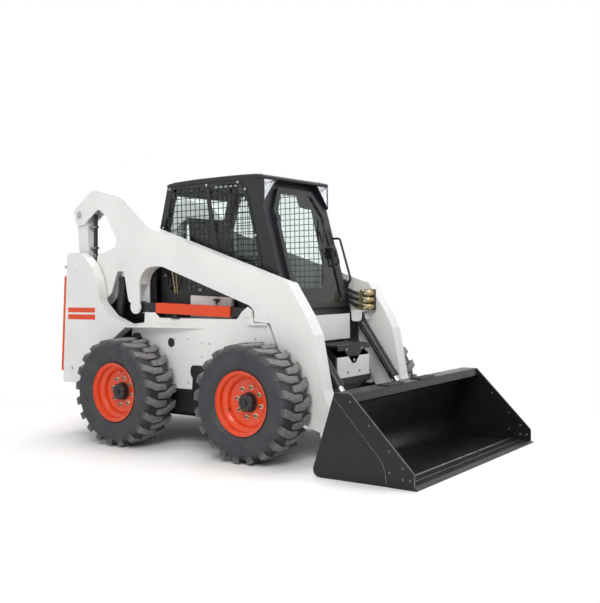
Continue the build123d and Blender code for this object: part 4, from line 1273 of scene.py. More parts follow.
# ---------------------------------------------------------------- cab
@dataclass(frozen=True)
class CabTrim:
    """Roof, lamps, wiper, handles, controls and bolts of the cab.

    Attributes:
        sill: (x, z) of the door plane's foot.
        lean: degrees that the front leans back.
        screen_face: y of the side screens' outer faces.
    """

    sill: tuple = (1356.0, 985.0)
    lean: float = 15.4
    screen_face: float = 430.0

    def on_front(self, y: float, along: float, out: float) -> Vector:
        """Finds a point by its place on the cab's leaning front.

        Args:
            y: place across.
            along: distance up the front from the sill.
            out: distance in front of the front plane.

        Returns:
            The point.
        """
        turn = math.radians(self.lean)
        x = self.sill[0] - along * math.sin(turn) + out * math.cos(turn)
        z = self.sill[1] + along * math.cos(turn) + out * math.sin(turn)
        return from_axle(x, y, z)

    def wiper(self, shop: Workshop) -> None:
        """Builds the wiper's motor, arm and blade on the door."""
        motor = Form()
        low, high = self.on_front(299, 536, 36), self.on_front(299, 536, 66)
        way = (high - low).normalized()
        motor.lathe([(0.0, 0.0), (0.030, 0.0), (0.032, 0.004), (0.032, 0.022), (0.024, 0.030),
                     (0.0, 0.030)], low, way, 28)
        motor.prism([self.on_front(y, a, 36) for y, a in
                     ((270, 470), (326, 470), (326, 530), (300, 566), (276, 540))],
                    way * 0.018)
        arm = Form()
        for route, radius in ((((299, 536, 62), (284, 700, 60), (200, 640, 46), (165, 520, 44)),
                               0.005),
                              (((299, 536, 66), (180, 545, 50), (158, 515, 44)), 0.006)):
            arm.tube([self.on_front(*point) for point in route], radius, 8)
        blade = Form()
        start, end = self.on_front(281, 790, 39), self.on_front(36, 235, 39)
        across = (end - start).normalized().cross(way)
        step = (end - start).normalized() * 0.016
        bars = [(start, end, 0.005, 0.011)]
        for share in (0.15, 0.35, 0.5, 0.65, 0.85):
            middle = start.lerp(end, share) + way * 0.011
            bars.append((middle - step, middle + step, 0.009, 0.006))
        for first, last, half, height in bars:
            blade.prism([first - across * half, first + across * half,
                         last + across * half, last - across * half], way * height)
        piece = shop.fit("wiper_motor", motor, shop.finishes.plastic, "cab_door", 0.002)
        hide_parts("door_wiper")
        shop.fit("wiper_arm", arm, shop.finishes.plastic, "cab_door")
        shop.fit("wiper_blade", blade, shop.finishes.hose, "cab_door", 0.0008)

    def door_handle(self, shop: Workshop) -> None:
        """Sets the door's pull and its hinge leaves."""
        form = Form().tube([self.on_front(318, along, out) for along, out in
                            ((410, 30), (416, 62), (520, 62), (526, 30))], 0.008, 12)
        shop.fit("door_pull", form, shop.finishes.plastic, "cab_door")
        leaves = Form()
        for along in (250, 770):
            leaves.prism([self.on_front(y, a, 29) for y, a in
                          ((-334, along - 26), (-286, along - 20), (-286, along + 20),
                           (-334, along + 26))],
                         self.on_front(0, 0, 6) - self.on_front(0, 0, 0))
        shop.fit("door_hinge_leaves", leaves, shop.finishes.black, "cab_door", 0.0015)

    def screen_bolts(self, shop: Workshop) -> None:
        """Bolts the screens and the roof down."""
        spots = [(189, 2005), (579, 2008), (892, 2009), (962, 1951), (1057, 1602),
                 (110, 1701), (128, 1320), (880, 1212), (500, 1200)]
        places = [(side.at(x, self.screen_face - 0.5, z), side.out)
                  for side in Side for x, z in spots]
        Fastener(0.0075, 0.006, 0.0105).fit(
            shop, "screen_bolts", places, shop.finishes.silver, "chassis")
        roof = [(from_axle(x, y, 2064.0), UP) for x in (210, 640, 1080) for y in (-385, 385)]
        Fastener(0.006, 0.0008, 0.012).fit(
            shop, "roof_bolts", roof, shop.finishes.black, "chassis")

    def side_fittings(self, shop: Workshop) -> None:
        """Adds the vent slots over the side windows and the two gas springs below them."""
        slots, springs = Form(), Form()
        for side in Side:
            face = side.value * (self.screen_face - 1.0)
            for x in range(668, 900, 48):
                slots.slab((x, x + 24), (1979, 1989), face, face + side.value * 1.8)
            away = self.screen_face + 3.0
            for top, foot, radius in (((206, 1348), (237, 1178), 0.0048),
                                      ((249, 1323), (261, 1174), 0.0040)):
                springs.tube([side.at(top[0], away, top[1]), side.at(foot[0], away, foot[1])],
                             radius, 12)
        shop.fit("vent_slots", slots, shop.finishes.silver, "chassis")
        shop.fit("gas_springs", springs, shop.finishes.zinc, "chassis")

    def roof(self, shop: Workshop) -> None:
        """Builds the roof with its rolled edges."""
        rows = [(150, 2025), (158, 2037), (178, 2048), (230, 2054), (320, 2059), (430, 2063),
                (560, 2064.6), (820, 2064.6), (960, 2063), (1060, 2059), (1118, 2052),
                (1136, 2043), (1141, 2034), (1140, 2025), (1128, 2021), (1100, 2024)]
        roof = shop.fit("roof_skin", Form().plate(rows, -429.5, 429.5), shop.finishes.cab,
                        "chassis", 0.009)
        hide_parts("cab_roof")

    def lamps(self, shop: Workshop) -> None:
        """Builds the housing, lens, faceted reflector and bulb of each lamp."""
        housing, lens, reflector = Form(), Form(), Form()
        for side in Side:
            outline = [(0.258, 2.0235), (0.4235, 2.0235), (0.4235, 1.838)]
            inset = [(0.268, 2.0165), (0.4165, 2.0165), (0.4165, 1.855)]
            rear, front = 0.166, 0.238
            ring = [Vector((rear, side.value * y, z)) for y, z in outline]
            housing.ring_strip(ring, 0.007, (front - rear, 0, 0))
            housing.prism([(rear, side.value * y, z) for y, z in inset], (0.006, 0, 0))
            lens.prism([(front - 0.006, side.value * y, z) for y, z in inset], (0.004, 0, 0))
            corners = [Vector((front - 0.010, side.value * y, z)) for y, z in inset]
            middle = sum(corners, Vector()) / 3 - Vector((0.030, 0, 0))
            steps = 7
            for place in range(3):
                first, second = corners[place], corners[(place + 1) % 3]
                for step in range(steps):
                    a = first.lerp(second, step / steps)
                    b = first.lerp(second, (step + 1) / steps)
                    for near, far in ((0.0, 0.4), (0.4, 0.8)):
                        points = [a.lerp(middle, near), b.lerp(middle, near),
                                  b.lerp(middle, far), a.lerp(middle, far)]
                        centre = sum(points, Vector()) / 4 - Vector((0.003, 0, 0))
                        reflector.add([*points, centre, centre - Vector((0.003, 0, 0))],
                                      [[0, 1, 4], [1, 2, 4], [2, 3, 4], [3, 0, 4],
                                       [1, 0, 5], [2, 1, 5], [3, 2, 5], [0, 3, 5]])
            reflector.lathe([(0.0, 0.014), (0.006, 0.013), (0.012, 0.004), (0.016, -0.006),
                             (0.0, -0.006)], middle + Vector((0.004, 0, 0)),
                            Vector((1, 0, 0)), 16)
        shop.fit("lamp_housings", housing, shop.finishes.cab, "chassis", 0.002)
        piece = shop.fit("lamp_lenses", lens, shop.finishes.lens, "chassis", 0.0008)
        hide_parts("work_lights")
        shop.fit("lamp_reflectors", reflector, shop.finishes.mirror, "chassis")

    def interior(self, shop: Workshop) -> None:
        """Adds the levers' boots and grips, the dials and the seat bar."""
        boots, grips, tips = Form(), Form(), Form()
        for side in Side:
            foot = side.at(722, 330, 1330)
            lean = Vector((0.13, 0.0, 0.99)).normalized()
            rows = [(0.0, -0.004), (0.052, -0.004), (0.054, 0.006)]
            for ring in range(5):
                base = 0.010 + ring * 0.012
                radius = 0.048 - ring * 0.0065
                rows += [(radius, base), (radius - 0.005, base + 0.006)]
            rows += [(0.015, 0.078), (0.0, 0.080)]
            boots.lathe(rows, foot, lean, 28)
            grip = foot + lean * 0.078
            grips.lathe([(0.0, 0.0), (0.014, 0.0), (0.019, 0.010), (0.021, 0.040),
                         (0.019, 0.062), (0.023, 0.075), (0.022, 0.088), (0.012, 0.096),
                         (0.0, 0.097)], grip, lean, 24)
            for place in range(2):
                knob = grip + lean * 0.096 + Vector((0.0, 0.008 * (2 * place - 1), 0.0))
                tips.lathe([(0.0, -0.002), (0.0045, -0.002), (0.0045, 0.003), (0.0, 0.0035)],
                           knob, lean, 12)
        shop.fit("lever_boots", boots, shop.finishes.hose, "chassis")
        shop.fit("lever_grips", grips, shop.finishes.plastic, "chassis")
        shop.fit("lever_buttons", tips, shop.finishes.orange, "chassis")
        panels, dials = Form(), Form()
        for side in Side:
            panels.prism([side.at(x, 292, z) for x, z in
                          ((900, 1975), (930, 1870), (995, 1842), (1010, 1990))],
                         side.out * 0.092)
            for row, across in ((0, 315), (0, 355), (1, 335)):
                spot = side.at(912 + 12 * row, across, 1930 - 38 * row)
                dials.lathe([(0.0, -0.004), (0.015, -0.004), (0.017, 0.001), (0.015, 0.003),
                             (0.013, 0.001), (0.0, 0.001)], spot, Vector((-0.96, 0, -0.28)), 20)
        shop.fit("dash_panels", panels, shop.finishes.plastic, "chassis", 0.004)
        shop.fit("dash_dials", dials, shop.finishes.steel, "chassis")
        half = [(215, 330, 1420), (300, 330, 1480), (560, 300, 1470), (640, 240, 1440)]
        bar = Form().tube([*(Side.RIGHT.at(*point) for point in half),
                           *(Side.LEFT.at(*point) for point in reversed(half))], 0.014, 12)
        shop.fit("seat_bar", bar, shop.finishes.black, "chassis")

    def build(self, shop: Workshop) -> None:
        """Builds the cab's trim."""
        self.wiper(shop)
        self.door_handle(shop)
        self.screen_bolts(shop)
        self.side_fittings(shop)
        self.roof(shop)
        self.lamps(shop)
        self.interior(shop)


@dataclass(frozen=True)
class Seat:
    """Vinyl seat with sewn channels.

    Attributes:
        half: half the cushions' width.
        voxel: size of the remeshed cells.
        pressure: air pressure that swells the pads.
        cap: most that a point may move while they swell.
        channel: depth of the sewn channels.
        channel_width: distance over which a channel fades.
        rounding: radius of the pads' edges.
    """

    half: float = 0.222
    voxel: float = 0.006
    pressure: float = 4.0
    cap: float = 0.012
    channel: float = 0.007
    channel_width: float = 0.008
    rounding: float = 0.022

    def swell(self, mesh: bpy.types.Mesh) -> bpy.types.Mesh:
        """Returns the pad's mesh after an even swelling of its cloth."""
        carrier = bpy.data.objects.new("pad_cloth", mesh)
        bpy.context.scene.collection.objects.link(carrier)
        remesh = carrier.modifiers.new("even", "REMESH")
        remesh.mode = "VOXEL"
        remesh.voxel_size = self.voxel
        graph = bpy.context.evaluated_depsgraph_get()
        even = bpy.data.meshes.new_from_object(carrier.evaluated_get(graph))
        carrier.modifiers.remove(remesh)
        carrier.data = even
        rest = [vertex.co.copy() for vertex in even.vertices]
        cloth = carrier.modifiers.new("swell", "CLOTH")
        cloth.settings.use_pressure = True
        cloth.settings.uniform_pressure_force = self.pressure
        cloth.settings.effector_weights.gravity = 0.0
        scene = bpy.context.scene
        for frame in range(1, CLOTH_FRAMES + 1):
            scene.frame_set(frame)
        graph = bpy.context.evaluated_depsgraph_get()
        swollen = bpy.data.meshes.new_from_object(carrier.evaluated_get(graph))
        scene.frame_set(1)
        for vertex, start in zip(swollen.vertices, rest):
            shift = vertex.co - start
            if shift.length > self.cap:
                vertex.co = start + shift.normalized() * self.cap
        carrier.modifiers.remove(cloth)
        even = swollen
        bpy.data.objects.remove(carrier)
        return even

    def sew(self, mesh: bpy.types.Mesh, lines: list[tuple[Vector, Vector]],
            top: Vector) -> None:
        """Presses sewn channels into the pad's face.

        Args:
            mesh: the pad.
            lines: (point, normal) of each channel's plane.
            top: direction of the sat-on face.
        """
        normals = [vertex.normal.copy() for vertex in mesh.vertices]
        for vertex, normal in zip(mesh.vertices, normals):
            facing = normal.dot(top)
            if facing < 0.15:
                continue
            depth = 0.0
            for point, across in lines:
                away = abs((vertex.co - point).dot(across)) / self.channel_width
                depth = max(depth, math.exp(-away * away))
            vertex.co -= normal * (self.channel * depth * min(1.0, facing * 1.6))

    def pad(self, shop: Workshop, name: str, outline: list[tuple[float, float]], half: float,
            lines: list, top: Vector) -> bpy.types.Object:
        """Builds one cushion.

        Args:
            shop: the workshop.
            name: the cushion's name.
            outline: its side view, as (x, z) in millimetres from the rear axle.
            half: half its width in metres.
            lines: planes of its channels.
            top: direction of the face that is sat on.

        Returns:
            The cushion.
        """
        form = Form().plate(outline, -half * 1000, half * 1000)
        mesh = form.mesh(name)
        shape = bmesh.new()
        shape.from_mesh(mesh)
        bmesh.ops.bevel(shape, geom=shape.edges[:], offset=self.rounding, segments=4,
                        profile=0.6, affect="EDGES", clamp_overlap=True)
        shape.to_mesh(mesh)
        shape.free()
        mesh = self.swell(mesh)
        self.sew(mesh, lines, top)
        for face in mesh.polygons:
            face.use_smooth = True
        piece = shop.fit(name, mesh, shop.finishes.vinyl, "chassis")
        finer = piece.modifiers.new("finer", "SUBSURF")
        finer.levels = finer.render_levels = 1
        return piece

    def build(self, shop: Workshop) -> None:
        """Builds the cushion, the back rest and its shell."""
        up = Vector((0.1, 0, 1)).normalized()
        ahead = Vector((1, 0, 0.1)).normalized()
        side_lines = [(Vector((0, y, 0)), Vector((0, 1, 0))) for y in (-0.125, 0.125)]
        cross = [(from_axle(x, 0, 1200), Vector((1, 0, 0))) for x in (420, 520, 620)]
        cushion = self.pad(shop, "seat_cushion",
                           [(330, 1146), (330, 1212), (740, 1234), (752, 1160)],
                           self.half, side_lines + cross, up)
        rungs = [(from_axle(240, 0, z), Vector((0.08, 0, 1)).normalized())
                 for z in (1360, 1460, 1560, 1680)]
        back = self.pad(shop, "seat_back",
                        [(240, 1262), (205, 1776), (262, 1776), (322, 1262)],
                        self.half - 0.008, side_lines + rungs, ahead)
        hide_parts("seat")
        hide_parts("seat")
        shell = Form().plate([(216, 1236), (184, 1790), (196, 1792), (230, 1240)], -214, 214)
        shell.plate([(310, 1131), (300, 1150), (770, 1156), (776, 1131)], -212, 212)
        shop.fit("seat_shell", shell, shop.finishes.plastic, "chassis", 0.006)


# ---------------------------------------------------------------- bucket and nose
@dataclass(frozen=True)
class BucketTrim:
    """Tread pads, edge strips, welds and bolts of the bucket.

    Attributes:
        half: half the bucket's width.
        pads: y of the tread pads' middles.
        pad_width: width of a pad.
        edge_back: distance from the cutting edge's front to its bolts.
        pitch: spacing of the edge's bolts.
        reach: distance from the rear axle to the cutting edge.
    """

    half: float = 940.0
    pads: tuple = (-362.0, 95.0)
    pad_width: float = 226.0
    edge_back: float = 95.0
    pitch: float = 304.8
    reach: float = 2657.0

    def tread_pads(self, shop: Workshop) -> None:
        """Lays the ribbed tread pads on the top member."""
        form = Form()
        for middle in self.pads:
            low, high = middle - self.pad_width / 2, middle + self.pad_width / 2
            form.slab((2112, 2200), (549, 555), low, high)
            for x in range(2118, 2198, 13):
                form.plate([(x, 555), (x + 6, 555), (x + 5, 561), (x + 1, 561)],
                           low + 6, high - 6)
            for y in (low, high - 6):
                form.slab((2112, 2200), (555, 562), y, y + 6)
        shop.fit("bucket_treads", form, shop.finishes.plastic, "bucket")

    def cheeks(self, shop: Workshop) -> None:
        """Builds the cheeks as a sheet with a thicker strip along its front, and thin pale lines
        on the strip's edges as painted highlights.
        """
        sheet, strip, holes, plugs = Form(), Form(), Form(), Form()
        for side in Side:
            inner = side.value * (self.half - 15)
            middle = side.value * (self.half - 7)
            outer = side.value * self.half
            sheet.plate([(2480, 0), (1962, 0), (1935, 4), (1914, 17), (1904, 36), (1904, 58),
                         (2071, 545), (2079, 551), (2192, 551), (2204, 546), (2636, 104),
                         (2640, 95), (2640, 20), (2480, 20)], inner, middle)
            strip.plate([(2086, 551), (2192, 551), (2204, 546), (2636, 104), (2640, 95),
                         (2640, 20), (2482, 20), (2482, 2), (2462, 2), (2446, 22),
                         (2442, 50), (2438, 96), (2424, 132), (2398, 170), (2070, 520),
                         (2070, 540)], middle, outer)
            for x, z in ((2196, 500), (2330, 364), (2470, 220), (2560, 128), (2470, 92),
                         (2560, 60), (2612, 60)):
                for form, face, way in ((holes, inner, -side.value),
                                        (plugs, outer, side.value)):
                    form.lathe([(0.0, 0.0009), (0.0085, 0.0009), (0.0085, -0.001),
                                (0.0, -0.001)], from_axle(x, face - way * 0.6, z),
                               Vector((0, way, 0)), 18)
        shop.fit("cheek_strips", strip, shop.finishes.bucket, "bucket", 0.0016)
        piece = shop.fit("cheek_sheets", sheet, shop.finishes.bucket, "bucket", 0.0012)
        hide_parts("bucket_sides")
        shop.fit("cheek_hole_rims", holes, shop.finishes.silver, "bucket")
        shop.fit("cheek_plugs", plugs, shop.finishes.bolt, "bucket")
        # Thin pale tubes along the strip's front and rear edges are painted edge highlights.
        highlight_lines = Form()
        for side in Side:
            for route in (((2192, 550), (2204, 545), (2635, 104), (2639, 95), (2639, 21)),
                          ((2072, 520), (2400, 170), (2426, 132), (2440, 96), (2444, 50),
                           (2448, 23))):
                highlight_lines.tube([side.at(x, self.half - 0.5, z) for x, z in route], 0.0016, 8)
        shop.fit("cheek_rubbed_edges", highlight_lines, shop.finishes.highlight_steel, "bucket")

    def edge_bolts(self, shop: Workshop) -> None:
        """Sets the square-necked bolts of the cutting edge."""
        form = Form()
        x = self.reach - self.edge_back
        for place in range(6):
            form.lathe([(0.0, 0.0012), (0.007, 0.0010), (0.010, 0.0), (0.0102, -0.006),
                        (0.0, -0.006)], from_axle(x, (place - 2.5) * self.pitch, 18.5), UP, 20)
        shop.fit("edge_bolts", form, shop.finishes.steel, "bucket")

    def edge_seam(self, shop: Workshop) -> None:
        """Runs the weld bead that joins the cutting edge to the floor and a thin line along the
        edge, both in pale steel as painted highlights.
        """
        form = Form().tube([from_axle(2481, -924, 19.0), from_axle(2481, 924, 19.0)], 0.006, 10)
        form.tube([from_axle(2560, -938, 19.2), from_axle(2560, 938, 19.2)], 0.0022, 8)
        shop.fit("edge_seam", form, shop.finishes.highlight_steel, "bucket")

    def build(self, shop: Workshop) -> None:
        """Builds the bucket's trim."""
        self.tread_pads(shop)
        self.cheeks(shop)
        self.edge_bolts(shop)
        self.edge_seam(shop)


@dataclass(frozen=True)
class FrameTrim:
    """Small pieces of the frame: nose, step, panels, tailgate and hood.

    Attributes:
        gate_low: (x, z) of the tailgate's outer face at its foot.
        gate_high: (x, z) of that face at its top.
        panel_face: y of the side panels' outer faces.
        bracket_out: how far the panels' black brackets stand out.
    """

    gate_low: tuple = (-855.0, 533.0)
    gate_high: tuple = (-793.2, 1329.0)
    panel_face: float = 590.0
    bracket_out: float = 4.0

    def gate_x(self, z: float) -> float:
        """Returns the x of the tailgate's outer face at a height."""
        share = (z - self.gate_low[1]) / (self.gate_high[1] - self.gate_low[1])
        return self.gate_low[0] + (self.gate_high[0] - self.gate_low[0]) * share

    def gate_rows(self, low: float, high: float, inset: float, out: float) -> list:
        """Finds the side view of a flat piece on the tailgate's face.

        Args:
            low: height of its foot.
            high: height of its top.
            inset: how far it reaches into the tailgate.
            out: how far it stands out.

        Returns:
            Its (x, z) corners.
        """
        return [(self.gate_x(low) + inset, low), (self.gate_x(low) - out, low),
                (self.gate_x(high) - out, high), (self.gate_x(high) + inset, high)]

    def tailgate(self, shop: Workshop) -> None:
        """Adds the vent slats, the rear lamps and the latch of the tailgate."""
        slats = Form()
        for z in range(800, 1170, 30):
            rows = [(self.gate_x(z) - 1.0 + shift, z + rise) for shift, rise in
                    ((2, 0), (-2.5, 5), (-2.5, 9), (2, 15))]
            slats.plate(rows, -330, 330)
        back = Form().plate(self.gate_rows(790, 1180, 2, 0.4), -342, 342)
        shop.fit("gate_vent", back, shop.finishes.plastic, "tailgate")
        shop.fit("gate_slats", slats, shop.finishes.orange, "tailgate", 0.001)
        bezel, lens = Form(), Form()
        for side in Side:
            y = side.value * 560
            for form, half, grow, out in ((bezel, 58, 8, 0.8), (lens, 50, 0, 1.8)):
                form.plate(self.gate_rows(1190 - grow, 1270 + grow, 3, out),
                           y - half, y + half)
        shop.fit("rear_lamp_bezels", bezel, shop.finishes.plastic, "tailgate", 0.001)
        shop.fit("rear_lamp_lenses", lens, shop.finishes.red_lens, "tailgate", 0.001)
        latch = Form().plate(self.gate_rows(860, 950, 3, 0.6), -645, -575)
        pull = Form().tube([from_axle(self.gate_x(930) - 0.5, -610, 935),
                            from_axle(self.gate_x(930) - 2.2, -610, 925),
                            from_axle(self.gate_x(880) - 2.2, -610, 885),
                            from_axle(self.gate_x(875) - 0.5, -610, 875)], 0.003, 8)
        shop.fit("gate_latch", latch, shop.finishes.black, "tailgate", 0.001)
        shop.fit("gate_pull", pull, shop.finishes.zinc, "tailgate")

    def hood(self, shop: Workshop) -> None:
        """Adds the mesh under the hood's louvres."""
        mesh = Form()
        for x in range(-640, -60, 58):
            for lower, upper in ((-392, -24), (24, 392)):
                height = 1345 + (x + 742) * 57 / 782 - 14
                for step in range(lower + 14, upper, 16):
                    mesh.plate([(x, height), (x + 26, height + 1.9), (x + 26, height + 4.9),
                                (x, height + 3)], step, step + 3)
        shop.fit("hood_mesh", mesh, shop.finishes.plastic, "engine_cover")

    def nose(self, shop: Workshop) -> None:
        """Adds the step's tread, its shield and the bolts of the front panels."""
        tread = Form()
        for x in (1474, 1514, 1554, 1594):
            for y in range(-190, 200, 38):
                tread.lathe([(0.011, 0.0), (0.011, 0.003), (0.008, 0.0045), (0.005, 0.0045),
                             (0.005, 0.0), (0.008, -0.001)], from_axle(x, y, 785.0), UP, 12)
        shop.fit("step_tread", tread, shop.finishes.black, "chassis")
        front = shop.box("front_step")[1].x - 0.005
        shield = Form().prism([(front - 0.004, y / 1000, z / 1000) for y, z in
                               ((-150, 770), (150, 770), (24, 642), (-24, 642))],
                              (0.006, 0, 0))
        places = [((front + 0.0018, y / 1000, z / 1000), (1, 0, 0)) for y, z in
                  ((-105, 752), (105, 752), (0, 668))]
        shop.fit("step_shield", shield, shop.finishes.black, "chassis", 0.002)
        Fastener(0.009, 0.006, 0.013).fit(
            shop, "shield_bolts", places, shop.finishes.silver, "chassis")

    def panels(self, shop: Workshop) -> None:
        """Adds flat black discs as painted shade in the panels' holes, white rims round them, the
        panels' brackets and bolts and the service cover's handle.
        """
        hole_shade, rim = Form(), Form()
        places = []
        for side in Side:
            # Each panel hole is a flat black disc, its black painted shade, with a white rim
            # round it.
            middle = side.at(336, self.panel_face - 0.6, 795)
            hole_shade.lathe([(0.0, 0.0009), (0.036, 0.0009), (0.036, -0.001), (0.0, -0.001)],
                       middle, side.out, 40)
            rim.lathe([(0.036, 0.0), (0.037, 0.0022), (0.041, 0.0022), (0.0425, 0.0)],
                      middle, side.out, 40)
            for x, z in ((376, 822), (516, 826), (653, 799), (730, 797),
                         (651, 697), (1171, 844), (-60, 520)):
                places.append((side.at(x, self.panel_face, z), side.out))
        bracket = Form()
        for side in Side:
            face = side.value * self.panel_face
            out = side.value * (self.panel_face + self.bracket_out)
            bracket.plate([(548, 440), (640, 440), (700, 470), (700, 628), (560, 628),
                           (540, 612), (534, 580), (540, 548), (556, 530)], face, out)
            bracket.plate([(-120, 806), (32, 808), (4, 850), (-14, 862), (-64, 862),
                           (-84, 850)], face, out)
            places.append((from_axle(508, face, 492), side.out))
        shop.fit("panel_brackets", bracket, shop.finishes.black, "chassis", 0.003)
        shop.fit("panel_ports", hole_shade, shop.finishes.plastic, "chassis")
        shop.fit("panel_port_rims", rim, shop.finishes.white, "chassis")
        Fastener(0.0065, 0.004, 0.0085).fit(
            shop, "panel_bolts", places, shop.finishes.silver, "chassis")
        handle = Form()
        for route, radius, sides in (
                (((718, 468, 1112), (718, 492, 1112)), 0.010, 12),
                (((690, 490, 1122), (700, 490, 1126), (736, 490, 1126), (746, 490, 1122)),
                 0.0075, 10),
                (((718, 490, 1126), (718, 490, 1088)), 0.0075, 10)):
            handle.tube([Side.RIGHT.at(*point) for point in route], radius, sides)
        shop.fit("cover_handle", handle, shop.finishes.plastic, "chassis")

    def build(self, shop: Workshop) -> None:
        """Builds the frame's trim."""
        # The tailgate's forward-facing inner faces are turned black as painted shade, for the
        # dark seen through the arms' openings.
        shop.recolour("tailgate", shop.finishes.black, lambda face: face.normal.x > 0.8)
        self.tailgate(shop)
        self.hood(shop)
        self.nose(shop)
        self.panels(shop)


@dataclass(frozen=True)
class EngineBay:
    """Engine, radiator, filter and hoses that show when the hood or tailgate opens.

    Attributes:
        low: (x, z) of the bay's lowest corner, in millimetres from the rear axle.
        high: (x, z) of its highest corner.
        cylinders: ribs on the valve cover.
    """

    low: tuple = (-620.0, 330.0)
    high: tuple = (-130.0, 1010.0)
    cylinders: int = 4

    def build(self, shop: Workshop) -> None:
        """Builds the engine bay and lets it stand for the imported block."""
        (x0, z0), (x1, z1) = self.low, self.high
        block = Form()
        block.slab((x0 + 90, x1), (z0, z0 + 420), -150, 150)
        block.slab((x0 + 110, x1 - 20), (z0 + 420, z1 - 90), -120, 120)
        for rib in range(9):
            x = x0 + 120 + rib * 40
            block.slab((x, x + 9), (z0 + 60, z0 + 400), -158, 158)
        head = shop.fit("engine_casting", block, shop.finishes.iron, "chassis", 0.006)
        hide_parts("engine_block")
        cover = Form().plate([(x0 + 120, z1 - 92), (x1 - 30, z1 - 92), (x1 - 44, z1 - 30),
                              (x0 + 134, z1 - 30)], -88, 88)
        for place in range(self.cylinders):
            x = x0 + 165 + place * 84
            cover.plate([(x, z1 - 32), (x + 46, z1 - 32), (x + 40, z1 - 22), (x + 6, z1 - 22)],
                        -66, 66)
        shop.fit("valve_cover", cover, shop.finishes.black, "chassis", 0.005)
        pulley = Form()
        for y, z, radius in ((0, z0 + 150, 0.085), (-70, z0 + 330, 0.050),
                             (80, z0 + 300, 0.055)):
            rows = [(0.0, 0.0), (radius, 0.0), (radius - 0.006, 0.008), (radius, 0.016),
                    (radius, 0.022), (0.03, 0.022), (0.025, 0.030), (0.0, 0.030)]
            pulley.lathe(rows, from_axle(x0 + 92, y, z), Vector((-1, 0, 0)), 32)
        shop.fit("engine_pulleys", pulley, shop.finishes.steel, "chassis")
        filters = Form()
        rows = [(0.0, 0.0), (0.075, 0.0), (0.080, 0.006), (0.080, 0.050), (0.076, 0.055),
                (0.076, 0.250), (0.070, 0.262), (0.045, 0.268), (0.045, 0.300), (0.0, 0.300)]
        filters.lathe(rows, from_axle(x0 + 120, 205, z1 - 105), Vector((1, 0, 0)), 40)
        rows = [(0.0, 0.0), (0.044, 0.0), (0.046, 0.004), (0.046, 0.118), (0.0, 0.122)]
        filters.lathe(rows, from_axle(x0 + 200, -200, z0 + 220), UP, 32)
        shop.fit("engine_filters", filters, shop.finishes.plastic, "chassis")
        muffler = Form()
        rows = [(0.0, 0.0), (0.062, 0.006), (0.068, 0.014), (0.068, 0.300), (0.062, 0.308),
                (0.0, 0.314)]
        muffler.lathe(rows, from_axle(x0 + 110, -205, z1 - 85), Vector((1, 0, 0)), 36)
        muffler.hose([(x1 - 90, -205, z1 - 80), (x1 - 70, -190, z1 - 110),
                      (x1 - 70, -118, z1 - 150)], 24, 16)
        shop.fit("engine_muffler", muffler, shop.finishes.steel, "chassis")
        hoses = Form()
        for route, radius, sides in (
                (((100, 40, z1 - 110), (60, 60, z1 - 80), (40, 150, z1 - 150),
                  (40, 180, z1 - 300)), 22, 14),
                (((420, 205, z1 - 105), (470, 190, z1 - 120), (470, 118, z1 - 180)), 28, 16),
                (((100, -60, z0 + 220), (50, -120, z0 + 180), (40, -220, z0 + 150)), 16, 12)):
            hoses.hose([(x0 + x, y, z) for x, y, z in route], radius, sides)
        shop.fit("engine_hoses", hoses, shop.finishes.hose, "chassis")
        core = Form()
        for step in range(30):
            z = z0 + 60 + step * 18
            core.slab((x0, x0 + 30), (z, z + 5), -250, 250)
        for y in range(-250, 251, 50):
            core.slab((x0 + 6, x0 + 24), (z0 + 50, z0 + 610), y - 3, y + 3)
        for y in (-270, 252):
            core.slab((x0 - 4, x0 + 34), (z0 + 30, z0 + 630), y, y + 18)
        shop.fit("radiator_core", core, shop.finishes.black, "chassis")


